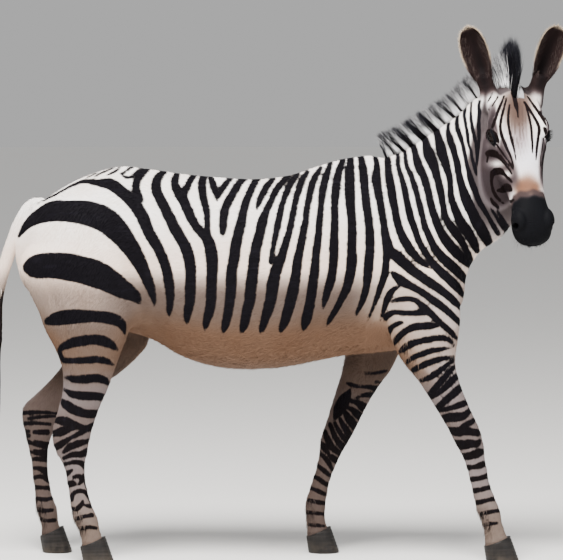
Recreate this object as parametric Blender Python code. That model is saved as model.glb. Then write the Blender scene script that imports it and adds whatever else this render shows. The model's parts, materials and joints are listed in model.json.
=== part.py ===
"""A mountain zebra, life size, in a slow walk with its head turned to its right.

Metres, +Z up, +X the way it walks, +Y its left. The body is modelled whole from lofted forms,
fused on a voxel grid, thinned, and parted with thin cuts into its named sub-parts.
"""

import math

import bmesh
import bpy
import numpy as np
from mathutils import Matrix, Vector

# Driving sizes of the animal.
EYE_RADIUS = 0.0205
GAP = 0.0003
MERGES = (0.0, 0.00001, 0.00003, 0.00006, 0.0001)

# Places of the head: the poll between the ears, and how the head is turned and bent down.
POLL = Vector((0.731, -0.140, 1.510))
HEAD_TURN = math.radians(-75)
HEAD_DROP = math.radians(58)
HEAD_TILT = math.radians(2)

# The middle of the whole outline, which becomes the origin on the ground.
MIDDLE = Vector((-0.026, -0.052, 0.0))

# Grid sizes and triangle counts of the fused forms.
BODY_GRID = 0.009
HEAD_GRID = 0.003
BODY_FACES = 4300
HEAD_FACES = 3000

COAT = (0.62, 0.55, 0.47)
HOOF_HORN = (0.045, 0.040, 0.038)
EYE_DARK = (0.012, 0.008, 0.006)
HAIR_DARK = (0.030, 0.026, 0.026)
EAR_COAT = (0.36, 0.29, 0.24)

# The trunk, from the buttocks to the point of the chest, with sections across X:
# x, top, bottom, half width, level of the widest place (0 bottom, 1 top), roundness above and below.
TRUNK = (
    (-0.853, 1.035, 0.965, 0.030, 0.50, 2.0, 2.0),
    (-0.827, 1.093, 0.878, 0.092, 0.50, 2.0, 2.0),
    (-0.776, 1.140, 0.830, 0.145, 0.48, 2.0, 2.0),
    (-0.712, 1.184, 0.792, 0.182, 0.48, 2.0, 2.0),
    (-0.631, 1.226, 0.760, 0.208, 0.48, 2.0, 2.0),
    (-0.519, 1.258, 0.734, 0.226, 0.50, 2.0, 2.1),
    (-0.423, 1.250, 0.708, 0.232, 0.47, 2.0, 2.2),
    (-0.311, 1.234, 0.647, 0.244, 0.44, 2.0, 2.2),
    (-0.199, 1.224, 0.615, 0.257, 0.42, 2.0, 2.2),
    (-0.087, 1.218, 0.609, 0.262, 0.42, 2.0, 2.2),
    (0.026, 1.231, 0.619, 0.256, 0.42, 1.95, 2.2),
    (0.122, 1.263, 0.638, 0.238, 0.42, 1.85, 2.1),
    (0.218, 1.288, 0.654, 0.214, 0.42, 1.70, 2.0),
    (0.314, 1.290, 0.663, 0.196, 0.42, 1.60, 2.0),
    (0.410, 1.250, 0.676, 0.184, 0.45, 1.70, 2.0),
    (0.490, 1.170, 0.708, 0.164, 0.45, 1.9, 2.0),
    (0.545, 1.060, 0.760, 0.130, 0.48, 2.0, 2.0),
    (0.580, 0.952, 0.830, 0.060, 0.50, 2.0, 2.0),
)

# The neck, from inside the chest to inside the skull: middle, half depth, half width,
# lean of the section from upright and turn to the right, in degrees.
NECK = (
    (0.290, 0.000, 0.985, 0.220, 0.120, 27.0, 0.0),
    (0.370, 0.000, 1.018, 0.270, 0.160, 27.0, 0.5),
    (0.454, 0.000, 1.053, 0.266, 0.160, 27.3, 2.0),
    (0.498, -0.006, 1.117, 0.224, 0.132, 24.9, 9.0),
    (0.559, -0.022, 1.179, 0.206, 0.112, 21.4, 20.0),
    (0.623, -0.050, 1.226, 0.208, 0.100, 18.2, 32.0),
    (0.675, -0.085, 1.290, 0.196, 0.090, 17.6, 44.0),
    (0.700, -0.115, 1.335, 0.160, 0.078, 17.0, 52.0),
)
NECK_LEVEL = 0.42
NECK_CREST_ROUNDNESS = 1.55
NECK_THROAT_ROUNDNESS = 2.0

# Each leg from inside the body to the coronet: height, back, front, side place, half width.
LEGS = {
    "hindleg_right": (
        (1.047, -0.770, -0.470, -0.140, 0.075),
        (0.961, -0.830, -0.435, -0.150, 0.092),
        (0.871, -0.804, -0.436, -0.152, 0.098),
        (0.813, -0.776, -0.452, -0.152, 0.097),
        (0.743, -0.750, -0.481, -0.152, 0.092),
        (0.688, -0.721, -0.503, -0.152, 0.083),
        (0.611, -0.696, -0.532, -0.149, 0.067),
        (0.557, -0.696, -0.551, -0.146, 0.055),
        (0.512, -0.706, -0.571, -0.144, 0.046),
        (0.461, -0.721, -0.590, -0.142, 0.042),
        (0.409, -0.732, -0.606, -0.140, 0.042),
        (0.361, -0.722, -0.615, -0.139, 0.036),
        (0.307, -0.694, -0.625, -0.138, 0.028),
        (0.246, -0.682, -0.620, -0.137, 0.027),
        (0.191, -0.674, -0.606, -0.136, 0.030),
        (0.143, -0.665, -0.586, -0.136, 0.037),
        (0.098, -0.644, -0.576, -0.135, 0.032),
        (0.040, -0.637, -0.556, -0.135, 0.036),
    ),
    "hindleg_left": (
        (1.030, -0.770, -0.470, 0.140, 0.075),
        (0.943, -0.808, -0.430, 0.150, 0.092),
        (0.821, -0.760, -0.420, 0.152, 0.098),
        (0.725, -0.706, -0.424, 0.152, 0.093),
        (0.677, -0.690, -0.436, 0.151, 0.085),
        (0.639, -0.699, -0.465, 0.150, 0.075),
        (0.600, -0.721, -0.506, 0.148, 0.066),
        (0.565, -0.750, -0.551, 0.146, 0.058),
        (0.533, -0.782, -0.596, 0.144, 0.050),
        (0.504, -0.814, -0.641, 0.142, 0.045),
        (0.475, -0.842, -0.679, 0.141, 0.042),
        (0.443, -0.847, -0.712, 0.140, 0.042),
        (0.398, -0.838, -0.738, 0.139, 0.040),
        (0.354, -0.829, -0.755, 0.138, 0.034),
        (0.309, -0.818, -0.760, 0.137, 0.028),
        (0.251, -0.812, -0.758, 0.136, 0.026),
        (0.187, -0.804, -0.747, 0.136, 0.030),
        (0.136, -0.799, -0.729, 0.135, 0.036),
        (0.097, -0.786, -0.726, 0.135, 0.031),
        (0.040, -0.783, -0.704, 0.135, 0.036),
    ),
    "foreleg_right": (
        (0.999, 0.330, 0.500, -0.100, 0.045),
        (0.930, 0.315, 0.535, -0.126, 0.062),
        (0.871, 0.310, 0.558, -0.138, 0.070),
        (0.775, 0.327, 0.566, -0.146, 0.076),
        (0.695, 0.353, 0.556, -0.144, 0.072),
        (0.640, 0.385, 0.551, -0.142, 0.065),
        (0.589, 0.426, 0.561, -0.140, 0.058),
        (0.538, 0.460, 0.579, -0.138, 0.050),
        (0.483, 0.494, 0.603, -0.136, 0.043),
        (0.429, 0.526, 0.628, -0.134, 0.043),
        (0.384, 0.548, 0.641, -0.132, 0.038),
        (0.336, 0.574, 0.647, -0.130, 0.029),
        (0.294, 0.588, 0.654, -0.129, 0.026),
        (0.249, 0.599, 0.663, -0.128, 0.026),
        (0.207, 0.609, 0.679, -0.127, 0.030),
        (0.169, 0.619, 0.694, -0.126, 0.035),
        (0.121, 0.638, 0.704, -0.126, 0.031),
        (0.040, 0.646, 0.738, -0.125, 0.037),
    ),
    "foreleg_left": (
        (0.982, 0.260, 0.470, 0.100, 0.045),
        (0.900, 0.235, 0.485, 0.130, 0.064),
        (0.821, 0.218, 0.468, 0.142, 0.072),
        (0.725, 0.208, 0.410, 0.144, 0.074),
        (0.642, 0.204, 0.378, 0.141, 0.067),
        (0.597, 0.196, 0.356, 0.139, 0.060),
        (0.543, 0.179, 0.317, 0.137, 0.051),
        (0.482, 0.160, 0.279, 0.135, 0.044),
        (0.424, 0.142, 0.250, 0.133, 0.042),
        (0.373, 0.125, 0.224, 0.131, 0.040),
        (0.318, 0.118, 0.192, 0.130, 0.030),
        (0.277, 0.110, 0.174, 0.129, 0.026),
        (0.232, 0.096, 0.157, 0.128, 0.026),
        (0.190, 0.083, 0.148, 0.127, 0.029),
        (0.158, 0.074, 0.144, 0.126, 0.034),
        (0.116, 0.078, 0.140, 0.126, 0.031),
        (0.040, 0.082, 0.168, 0.125, 0.037),
    ),
}

# Each hoof: back and front of the sole and of the coronet, and the side place.
HOOVES = {
    "hindleg_right": (-0.634, -0.532, -0.645, -0.562, -0.135),
    "hindleg_left": (-0.781, -0.681, -0.790, -0.711, 0.135),
    "foreleg_right": (0.648, 0.758, 0.640, 0.727, -0.125),
    "foreleg_left": (0.083, 0.188, 0.076, 0.158, 0.125),
}
HOOF_HALF_WIDTH = 0.048
CORONET_HALF_WIDTH = 0.040
CORONET_BACK, CORONET_FRONT = 0.050, 0.085

# The head in its own frame: along it from the poll, above the poll, sideways.
# Along, top, bottom, half width, level of the widest place, roundness above and below.
SKULL = (
    (-0.045, -0.055, -0.095, 0.020, 0.5, 2.0, 2.0),
    (-0.025, -0.015, -0.125, 0.054, 0.6, 2.0, 2.0),
    (0.020, 0.006, -0.155, 0.073, 0.6, 2.0, 2.2),
    (0.070, 0.016, -0.195, 0.083, 0.66, 2.2, 2.4),
    (0.120, 0.020, -0.224, 0.088, 0.72, 2.4, 2.6),
    (0.155, 0.019, -0.232, 0.090, 0.74, 2.5, 2.7),
    (0.200, 0.014, -0.220, 0.083, 0.70, 2.4, 2.6),
    (0.250, 0.006, -0.190, 0.069, 0.64, 2.3, 2.3),
    (0.310, -0.002, -0.160, 0.057, 0.60, 2.2, 2.1),
    (0.370, -0.010, -0.140, 0.053, 0.56, 2.2, 2.1),
    (0.415, -0.016, -0.131, 0.059, 0.54, 2.2, 2.2),
    (0.450, -0.024, -0.128, 0.065, 0.52, 2.3, 2.3),
    (0.480, -0.036, -0.127, 0.061, 0.50, 2.3, 2.3),
    (0.503, -0.053, -0.121, 0.049, 0.50, 2.2, 2.2),
    (0.518, -0.078, -0.105, 0.018, 0.50, 2.0, 2.0),
)

# Rounded forms on one side of the head, mirrored: middle, then half sizes.
HEAD_LUMPS = (
    ((0.150, 0.050, -0.130), (0.085, 0.043, 0.085)),
    ((0.138, 0.068, -0.012), (0.046, 0.026, 0.030)),
    ((0.245, 0.044, -0.080), (0.095, 0.018, 0.018)),
    ((0.085, 0.056, -0.018), (0.055, 0.028, 0.030)),
    ((0.448, 0.043, -0.058), (0.042, 0.027, 0.034)),
    ((0.486, 0.018, -0.084), (0.026, 0.036, 0.026)),
    ((0.478, 0.014, -0.115), (0.028, 0.028, 0.021)),
)

EYE_PLACE = Vector((0.157, 0.0805, -0.034))
EYE_OUTWARD = Vector((0.26, 0.94, 0.20)).normalized()
LID = 0.0042
OPENING_LENGTH, OPENING_HEIGHT = 0.046, 0.029

# Ears: foot on the skull in the head's frame, and world directions of the two ears.
EAR_FOOT = Vector((0.004, 0.076, -0.022))
EAR_ROOT_HEIGHT = 0.030
EAR_LENGTH = 0.190
EAR_AIMS = {"left": Vector((0.072, -0.025, 0.206)), "right": Vector((-0.068, -0.025, 0.196))}
# Along the ear from 0 to 1, half width, depth of the cup, how open its front is.
EAR = (
    (0.00, 0.0250, 0.0240, 0.0),
    (0.05, 0.0255, 0.0250, 0.15),
    (0.12, 0.0280, 0.0280, 0.70),
    (0.22, 0.0340, 0.0320, 0.95),
    (0.36, 0.0410, 0.0340, 1.0),
    (0.52, 0.0445, 0.0330, 1.0),
    (0.66, 0.0440, 0.0300, 1.0),
    (0.79, 0.0385, 0.0240, 1.0),
    (0.90, 0.0270, 0.0160, 1.0),
    (0.97, 0.0140, 0.0080, 1.0),
    (1.00, 0.0050, 0.0030, 0.6),
)
EAR_WALL = 0.0045

# The tail's bone, from inside the croup down, with its half thickness.
DOCK = (
    (-0.740, 0.000, 1.120, 0.030),
    (-0.790, 0.000, 1.128, 0.029),
    (-0.827, 0.000, 1.086, 0.026),
    (-0.859, 0.000, 1.020, 0.022),
    (-0.885, 0.000, 0.950, 0.0195),
    (-0.904, 0.000, 0.878, 0.0175),
    (-0.917, 0.000, 0.812, 0.0155),
)
# The core under the tail's brush of hair, from the end of the dock.
BRUSH_CORE = (
    (-0.9172, 0.000, 0.8117, 0.0160),
    (-0.922, 0.000, 0.770, 0.0210),
    (-0.928, 0.000, 0.700, 0.0220),
    (-0.929, 0.000, 0.620, 0.0140),
)
BRUSH_END = Vector((-0.917, 0.0, 0.375))

# The line that the mane stands on: place, length of hair, lean back from upright in degrees.
MANE_LINE = (
    (0.330, 0.000, 1.292, 0.062, 20.0),
    (0.360, 0.000, 1.305, 0.088, 38.0),
    (0.404, 0.000, 1.321, 0.092, 43.0),
    (0.484, -0.012, 1.372, 0.092, 42.0),
    (0.558, -0.032, 1.426, 0.090, 40.0),
    (0.619, -0.066, 1.480, 0.094, 34.0),
    (0.672, -0.100, 1.508, 0.110, 26.0),
    (0.712, -0.124, 1.520, 0.135, 14.0),
    (0.736, -0.140, 1.520, 0.160, 4.0),
    (0.744, -0.160, 1.507, 0.150, -4.0),
    (0.750, -0.180, 1.488, 0.110, -14.0),
)
MANE_SPLIT = 0.680


def clear_scene():
    for thing in list(bpy.data.objects):
        bpy.data.objects.remove(thing, do_unlink=True)


def through(stations, count):
    """Rows read evenly along a smooth curve through the stations."""
    rows = np.array(stations, float)
    steps = np.linalg.norm(np.diff(rows[:, :3], axis=0), axis=1)
    at = np.concatenate([[0.0], np.cumsum(steps)])
    slopes = np.gradient(rows, at, axis=0)
    places = np.linspace(0.0, at[-1], count)
    k = np.clip(np.searchsorted(at, places, side="right") - 1, 0, len(at) - 2)
    span = (at[k + 1] - at[k])[:, None]
    t = (places[:, None] - at[k][:, None]) / span
    return (
        rows[k] * (1 + 2 * t) * (1 - t) ** 2
        + slopes[k] * span * t * (1 - t) ** 2
        + rows[k + 1] * t * t * (3 - 2 * t)
        + slopes[k + 1] * span * t * t * (t - 1)
    )


def power(value, exponent):
    return math.copysign(abs(value) ** exponent, value)


def section(angle, top, bottom, half_width, level, above, below):
    """(sideways, height) of a point on a rounded section that is widest at its level."""
    middle = bottom + (top - bottom) * level
    exponent = 2.0 / (above if math.sin(angle) > 0 else below)
    reach = (top - middle) if math.sin(angle) > 0 else (middle - bottom)
    return half_width * power(math.cos(angle), exponent), middle + reach * power(math.sin(angle), exponent)


def add_tube(bm, rings):
    """A closed tube through the rings, made from a grid whose seam and ends are welded."""
    rings = np.asarray(rings, float)
    along, around = rings.shape[0] + 1, rings.shape[1]
    made = bmesh.ops.create_grid(bm, x_segments=along, y_segments=around, size=0.5)["verts"]
    ends = (rings[0].mean(0), rings[-1].mean(0))
    for v in made:
        i = round((v.co.x + 0.5) * along)
        j = round((v.co.y + 0.5) * around) % around
        if i == 0 or i == along:
            v.co = ends[0 if i == 0 else 1]
        else:
            v.co = rings[i - 1][j]
    bmesh.ops.remove_doubles(bm, verts=made, dist=1e-6)


def tube_mesh(name, rings, split=False):
    bm = bmesh.new()
    add_tube(bm, rings)
    bmesh.ops.recalc_face_normals(bm, faces=bm.faces)
    if split:
        bmesh.ops.triangulate(bm, faces=bm.faces)
    return finish_mesh(bm, name)


def finish_mesh(bm, name):
    mesh = bpy.data.meshes.new(name)
    bm.to_mesh(mesh)
    bm.free()
    return mesh


def add_lump(bm, matrix, middle, sizes):
    """An egg-shaped form, as a stretched ball."""
    placed = matrix @ Matrix.Translation(middle) @ Matrix.Diagonal((*sizes, 1.0))
    bmesh.ops.create_uvsphere(bm, u_segments=20, v_segments=12, radius=1.0, matrix=placed)


def head_frame():
    """The head's own frame: X along it to the nose, Y to its left, Z up out of the forehead."""
    turned = Matrix.Rotation(HEAD_TURN, 4, "Z") @ Matrix.Rotation(HEAD_DROP, 4, "Y")
    return Matrix.Translation(POLL) @ turned @ Matrix.Rotation(HEAD_TILT, 4, "X")


def angles(count):
    return [2 * math.pi * k / count for k in range(count)]


def trunk_rings(rows, around):
    rings = []
    for x, top, bottom, half_width, level, above, below in rows:
        points = [section(a, top, bottom, half_width, level, above, below) for a in angles(around)]
        rings.append([(x, side, height) for side, height in points])
    return rings


def neck_rings(rows, around):
    rings = []
    for x, y, z, depth, half_width, lean, turn in rows:
        up = Vector((-math.sin(math.radians(lean)), 0.0, math.cos(math.radians(lean))))
        left = Vector((math.sin(math.radians(turn)), math.cos(math.radians(turn)), 0.0))
        ring = []
        for a in angles(around):
            side, height = section(
                a, depth, -depth, half_width, NECK_LEVEL, NECK_CREST_ROUNDNESS, NECK_THROAT_ROUNDNESS
            )
            ring.append(Vector((x, y, z)) + up * height + left * side)
        rings.append(ring)
    return rings


def leg_rings(rows, around):
    rings = []
    for z, back, front, side, half_width in rows:
        middle, reach = (back + front) / 2, (front - back) / 2
        rings.append(
            [(middle + reach * math.cos(a), side + half_width * math.sin(a), z) for a in angles(around)]
        )
    return rings


def round_rings(rows, around):
    """Rings of a round form that hangs in the XZ plane."""
    rows = np.asarray(rows, float)
    heading = np.gradient(rows[:, :3], axis=0)
    rings = []
    for (x, y, z, radius), way in zip(rows, heading):
        across = Vector((way[2], 0.0, -way[0])).normalized()
        rings.append(
            [
                Vector((x, y, z)) + across * (radius * math.cos(a)) + Vector((0, radius * math.sin(a), 0))
                for a in angles(around)
            ]
        )
    return rings


def eye_frame(side):
    """The eye's frame in the world: X along the head, Y out of the head, Z to the brow. Side is 1 or -1."""
    out = Vector((EYE_OUTWARD.x, EYE_OUTWARD.y * side, EYE_OUTWARD.z))
    along = Vector((0.95, -0.10 * side, -0.28))
    along = (along - out * along.dot(out)).normalized()
    brow = along.cross(out) * side
    if brow.z < 0:
        brow = -brow
    turned = Matrix((along, out, brow)).transposed().to_4x4()
    place = Vector((EYE_PLACE.x, EYE_PLACE.y * side, EYE_PLACE.z))
    return head_frame() @ Matrix.Translation(place) @ turned


def lid_opening(side):
    """A long almond-shaped plug that opens the lids over the eyeball."""
    frame, rings = eye_frame(side), []
    for out, size in ((0.004, 0.80), (EYE_RADIUS, 1.0), (0.034, 1.12)):
        ring = []
        for a in angles(24):
            x = OPENING_LENGTH / 2 * math.cos(a)
            droop = 1.0 if math.sin(a) > 0 else 0.72
            z = OPENING_HEIGHT / 2 * droop * power(math.sin(a), 1.25)
            ring.append(frame @ Vector((size * x, out, size * z + 0.10 * x)))
        rings.append(ring)
    return tube_mesh("opening", rings)


def ear_frame(side):
    """The ear's frame: Z along the ear, -Y out of its open front. Side is left or right."""
    sign = 1 if side == "left" else -1
    foot = head_frame() @ Vector((EAR_FOOT.x, EAR_FOOT.y * sign, EAR_FOOT.z))
    up = EAR_AIMS[side].normalized()
    front = Vector((math.sin(math.radians(12 * sign)), -math.cos(math.radians(12 * sign)), 0.0))
    front = (front - up * front.dot(up)).normalized()
    across = up.cross(front)
    return Matrix.Translation(foot) @ Matrix((across, -front, up)).transposed().to_4x4()


def add_head_forms(bm):
    frame = head_frame()
    rings = [
        [frame @ Vector((x, side, height)) for x, side, height in ring]
        for ring in trunk_rings(through(SKULL, 60), 40)
    ]
    add_tube(bm, rings)
    for middle, sizes in HEAD_LUMPS:
        for side in (1, -1):
            add_lump(bm, frame, Vector((middle[0], middle[1] * side, middle[2])), sizes)
    for side in ("left", "right"):
        eye = eye_frame(1 if side == "left" else -1)
        add_lump(bm, eye, Vector((0.0, 0.0, 0.0)), (EYE_RADIUS + 1.3 * LID, EYE_RADIUS + LID, EYE_RADIUS + LID))
        ear = ear_frame(side)
        sizes = [(-0.090, 0.012, 0.012), (-0.060, 0.036, 0.034), (-0.030, 0.038, 0.036), (-0.002, 0.031, 0.030)]
        sizes += [(EAR_ROOT_HEIGHT, EAR[0][1], EAR[0][2]), (EAR_ROOT_HEIGHT + 0.03, EAR[0][1], EAR[0][2])]
        add_tube(
            bm,
            [
                [ear @ Vector((w * math.cos(a), d * math.sin(a), h)) for a in angles(20)]
                for h, w, d in through(sizes, 10)
            ],
        )


def add_body_forms(bm):
    add_tube(bm, trunk_rings(through(TRUNK, 90), 56))
    add_tube(bm, neck_rings(through(NECK, 40), 48))
    for rows in LEGS.values():
        add_tube(bm, leg_rings(through(rows, 90), 32))
    still = Matrix.Identity(4)
    for middle, sizes in BODY_LUMPS:
        for side in (1, -1):
            add_lump(bm, still, Vector((middle[0], middle[1] * side, middle[2])), sizes)


# Muscles that round the body's outline, mirrored: middle, then half sizes.
BODY_LUMPS = (
    ((0.330, 0.100, 1.000), (0.140, 0.076, 0.210)),
    ((0.500, 0.075, 0.850), (0.070, 0.065, 0.100)),
    ((-0.640, 0.124, 1.000), (0.170, 0.102, 0.170)),
    ((-0.520, 0.134, 0.880), (0.130, 0.085, 0.140)),
    ((-0.775, 0.080, 0.980), (0.050, 0.070, 0.120)),
)


def baked(thing):
    """The object's mesh with its modifiers applied."""
    graph = bpy.context.evaluated_depsgraph_get()
    mesh = bpy.data.meshes.new_from_object(thing.evaluated_get(graph))
    mesh.name = thing.name
    return mesh


def helper(name, mesh):
    thing = bpy.data.objects.new(name, mesh)
    bpy.context.scene.collection.objects.link(thing)
    thing.hide_render = True
    thing.display_type = "WIRE"
    return thing


def remove(*things):
    for thing in things:
        bpy.data.objects.remove(thing, do_unlink=True)


def fused(mesh, grid):
    """One skin round all the forms of a mesh, on the first grid that gives a sound surface."""
    for size in (grid, grid * 0.97, grid * 1.03, grid * 0.94):
        thing = helper("fusing", mesh)
        modifier = thing.modifiers.new("fuse", "REMESH")
        modifier.mode, modifier.voxel_size = "VOXEL", size
        made = baked(thing)
        remove(thing)
        bm = bmesh.new()
        bm.from_mesh(made)
        sound = all(len(edge.link_faces) == 2 for edge in bm.edges)
        bm.free()
        if sound:
            break
    return made


def relax(mesh, rounds, shrink=0.55, swell=-0.57):
    """Smooths the seams between forms, each round swelling back what it shrinks."""
    points = np.empty(len(mesh.vertices) * 3, np.float32)
    mesh.vertices.foreach_get("co", points)
    points = points.reshape(-1, 3).astype(float)
    ends = np.empty(len(mesh.edges) * 2, np.int32)
    mesh.edges.foreach_get("vertices", ends)
    a, b = ends.reshape(-1, 2).T
    count = np.bincount(a, minlength=len(points)) + np.bincount(b, minlength=len(points))
    for _ in range(rounds):
        for pull in (shrink, swell):
            total = np.empty_like(points)
            for axis in range(3):
                total[:, axis] = np.bincount(a, points[b, axis], len(points))
                total[:, axis] += np.bincount(b, points[a, axis], len(points))
            points += pull * (total / count[:, None] - points)
    mesh.vertices.foreach_set("co", points.astype(np.float32).ravel())
    mesh.update()


def thinned(mesh, faces):
    thing = helper("thinning", mesh)
    modifier = thing.modifiers.new("thin", "DECIMATE")
    mesh.calc_loop_triangles()
    modifier.ratio = faces / len(mesh.loop_triangles)
    made = baked(thing)
    remove(thing)
    return made


def combined(mesh, cutter, operation, solver="EXACT"):
    """The mesh joined with, cut by or kept inside the cutter's mesh."""
    thing, tool = helper("cutting", mesh), helper("cutter", cutter)
    modifier = thing.modifiers.new("cut", "BOOLEAN")
    modifier.operation, modifier.solver, modifier.object = operation, solver, tool
    made = baked(thing)
    remove(thing, tool)
    return largest(made)


def largest(mesh):
    """Keeps only the mesh's largest closed surface."""
    bm = bmesh.new()
    bm.from_mesh(mesh)
    left, groups = set(bm.verts), []
    while left:
        group, edge = set(), [left.pop()]
        while edge:
            vert = edge.pop()
            group.add(vert)
            for link in vert.link_edges:
                other = link.other_vert(vert)
                if other in left:
                    left.discard(other)
                    edge.append(other)
        groups.append(group)
    keep = max(groups, key=len)
    bmesh.ops.delete(bm, geom=[v for v in bm.verts if v not in keep], context="VERTS")
    bm.to_mesh(mesh)
    bm.free()
    return mesh


def box_mesh(place, turn, low, high):
    """A box between two corners of a turned frame."""
    bm = bmesh.new()
    size = [high[k] - low[k] for k in range(3)]
    middle = [(high[k] + low[k]) / 2 for k in range(3)]
    matrix = Matrix.Translation(place) @ turn @ Matrix.Translation(middle) @ Matrix.Diagonal((*size, 1.0))
    bmesh.ops.create_cube(bm, size=1.0, matrix=matrix)
    return finish_mesh(bm, "box")


def grown(mesh, by):
    """A copy that stands off the mesh by a small distance."""
    copy = mesh.copy()
    normals = [v.normal.copy() for v in copy.vertices]
    for v, normal in zip(copy.vertices, normals):
        v.co += normal * by
    return copy


# Cuts that part the legs: a place on the cut, its slope fore and aft in degrees, then the
# reach of the leg's box backwards and forwards.
LEG_CUTS = {
    "hindleg_right": (Vector((-0.62, 0.0, 0.775)), 8.0, 0.32, 0.25),
    "hindleg_left": (Vector((-0.60, 0.0, 0.765)), 8.0, 0.32, 0.25),
    "foreleg_right": (Vector((0.46, 0.0, 0.648)), -4.0, 0.20, 0.40),
    "foreleg_left": (Vector((0.29, 0.0, 0.600)), 0.0, 0.30, 0.20),
}
# Heights and places of the cuts through the knees and hocks, with their slopes.
JOINT_CUTS = {
    "hindleg_right": (Vector((-0.665, 0.0, 0.425)), -12.0),
    "hindleg_left": (Vector((-0.780, 0.0, 0.430)), -14.0),
    "foreleg_right": (Vector((0.580, 0.0, 0.422)), 20.0),
    "foreleg_left": (Vector((0.185, 0.0, 0.392)), -22.0),
}
FAR = 0.9
NECK_CUT_PLACE = Vector((0.690, -0.030, 1.300))
NECK_CUT_ACROSS = Vector((0.84, 0.54, 0.0)).normalized()
NECK_CUT_DOWN = Vector((0.20, 0.0, -0.98)).normalized()
CHEST_CUT_PLACE = Vector((0.455, 0.0, 1.080))
CHEST_CUT_LEAN = 30.0


def plane_turn(slope):
    return Matrix.Rotation(math.radians(slope), 4, "Y")


def neck_turn():
    """A frame whose X points through the cut from the neck to the head."""
    through_cut = NECK_CUT_DOWN.cross(NECK_CUT_ACROSS).normalized()
    if through_cut.y > 0:
        through_cut = -through_cut
    side = NECK_CUT_ACROSS - through_cut * NECK_CUT_ACROSS.dot(through_cut)
    side.normalize()
    return Matrix((through_cut, side, through_cut.cross(side))).transposed().to_4x4()


def side_of(leg):
    return (-FAR, -GAP) if leg.endswith("right") else (GAP, FAR)


def leg_box(leg, above=0.0):
    """Everything of a leg below its cut, with the cut moved up by a little for the torso's side."""
    place, slope, back, front = LEG_CUTS[leg]
    low, high = side_of(leg)
    return box_mesh(place, plane_turn(slope), (-back - above, low - above, -FAR), (front + above, high + above, above))


def build_legs(body):
    made = {}
    for leg in LEGS:
        whole = combined(body.copy(), leg_box(leg), "INTERSECT")
        place, slope = JOINT_CUTS[leg]
        turn = plane_turn(slope)
        upper = combined(whole.copy(), box_mesh(place, turn, (-FAR, -FAR, GAP), (FAR, FAR, FAR)), "INTERSECT")
        lower = combined(whole, box_mesh(place, turn, (-FAR, -FAR, -FAR), (FAR, FAR, 0.0)), "INTERSECT")
        sole_back, sole_front, back, front, side = HOOVES[leg]
        coronet = math.degrees(math.atan2(CORONET_FRONT - CORONET_BACK, front - back))
        at = Vector((back, 0.0, CORONET_BACK))
        above = box_mesh(at, plane_turn(-coronet), (-FAR, -FAR, GAP), (FAR, FAR, FAR))
        below = box_mesh(at, plane_turn(-coronet), (-FAR, -FAR, -FAR), (FAR, FAR, 0.0))
        made[leg + "_upper"] = upper
        made[leg + "_lower"] = combined(lower, above, "INTERSECT")
        made[leg + "_hoof"] = combined(hoof_mesh(leg), below, "INTERSECT")
    return made


def hoof_mesh(leg):
    sole_back, sole_front, back, front, side = HOOVES[leg]
    rows = [(0.0, sole_back + 0.004, sole_front - 0.003, HOOF_HALF_WIDTH - 0.003)]
    rows.append((0.006, sole_back, sole_front, HOOF_HALF_WIDTH))
    slope_back, slope_front = (back - sole_back) / CORONET_BACK, (front - sole_front) / CORONET_FRONT
    slope_width = (CORONET_HALF_WIDTH - HOOF_HALF_WIDTH) / CORONET_FRONT
    for z in (0.035, 0.060, 0.085, 0.110):
        rows.append((z, sole_back + slope_back * z, sole_front + slope_front * z, HOOF_HALF_WIDTH + slope_width * z))
    rings = []
    for z, low, high, half_width in rows:
        ring = []
        for a in angles(24):
            reach = math.cos(a) * (high - low) / 2
            narrow = 1.0 - 0.16 * max(0.0, -math.cos(a)) ** 2
            ring.append(((low + high) / 2 + reach, side + half_width * narrow * power(math.sin(a), 0.92), z))
        rings.append(ring)
    return tube_mesh("hoof", rings)


def eyeball(side, radius):
    bm = bmesh.new()
    matrix = eye_frame(side) @ Matrix.Rotation(math.radians(90), 4, "X")
    bmesh.ops.create_uvsphere(bm, u_segments=14, v_segments=8, radius=radius, matrix=matrix)
    bmesh.ops.recalc_face_normals(bm, faces=bm.faces)
    return finish_mesh(bm, "eyeball")


def nostril_mesh(side):
    """The hollow of a nostril: a bent, tapering form that runs in, up and back."""
    frame = head_frame()
    rows = (
        (0.500, 0.088, -0.064, 0.0095),
        (0.479, 0.069, -0.056, 0.0105),
        (0.462, 0.055, -0.052, 0.0090),
        (0.444, 0.044, -0.054, 0.0050),
    )
    rings = []
    for along, out, height, radius in through(rows, 8):
        ring = []
        for a in angles(12):
            wide, tall = radius * math.cos(a), 1.6 * radius * math.sin(a)
            place = (along + 0.65 * wide + 0.35 * tall, (out - 0.76 * wide) * side, height + tall)
            ring.append(frame @ Vector(place))
        rings.append(ring)
    return tube_mesh("nostril", rings)


def mouth_mesh():
    """A thin bent wedge that parts the lips, from one corner of the mouth round the front to the other."""
    frame, rings = head_frame(), []
    for k in range(25):
        turn = math.radians(-90 + 180 * k / 24)
        along = 0.415 + 0.104 * max(0.0, math.cos(turn)) ** 0.8
        side = 0.062 * math.sin(turn)
        height = -0.104 + 0.010 * math.cos(turn)
        out = Vector((math.cos(turn), math.sin(turn), 0.0))
        middle = Vector((along, side, height))
        opened = 0.0016 + 0.0006 * math.cos(turn)
        corners = ((-0.016, -0.3), (0.016, -1.0), (0.016, 1.0), (-0.016, 0.3))
        rings.append([frame @ (middle + out * reach + Vector((0, 0, lift * opened))) for reach, lift in corners])
    return tube_mesh("mouth", rings)


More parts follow.
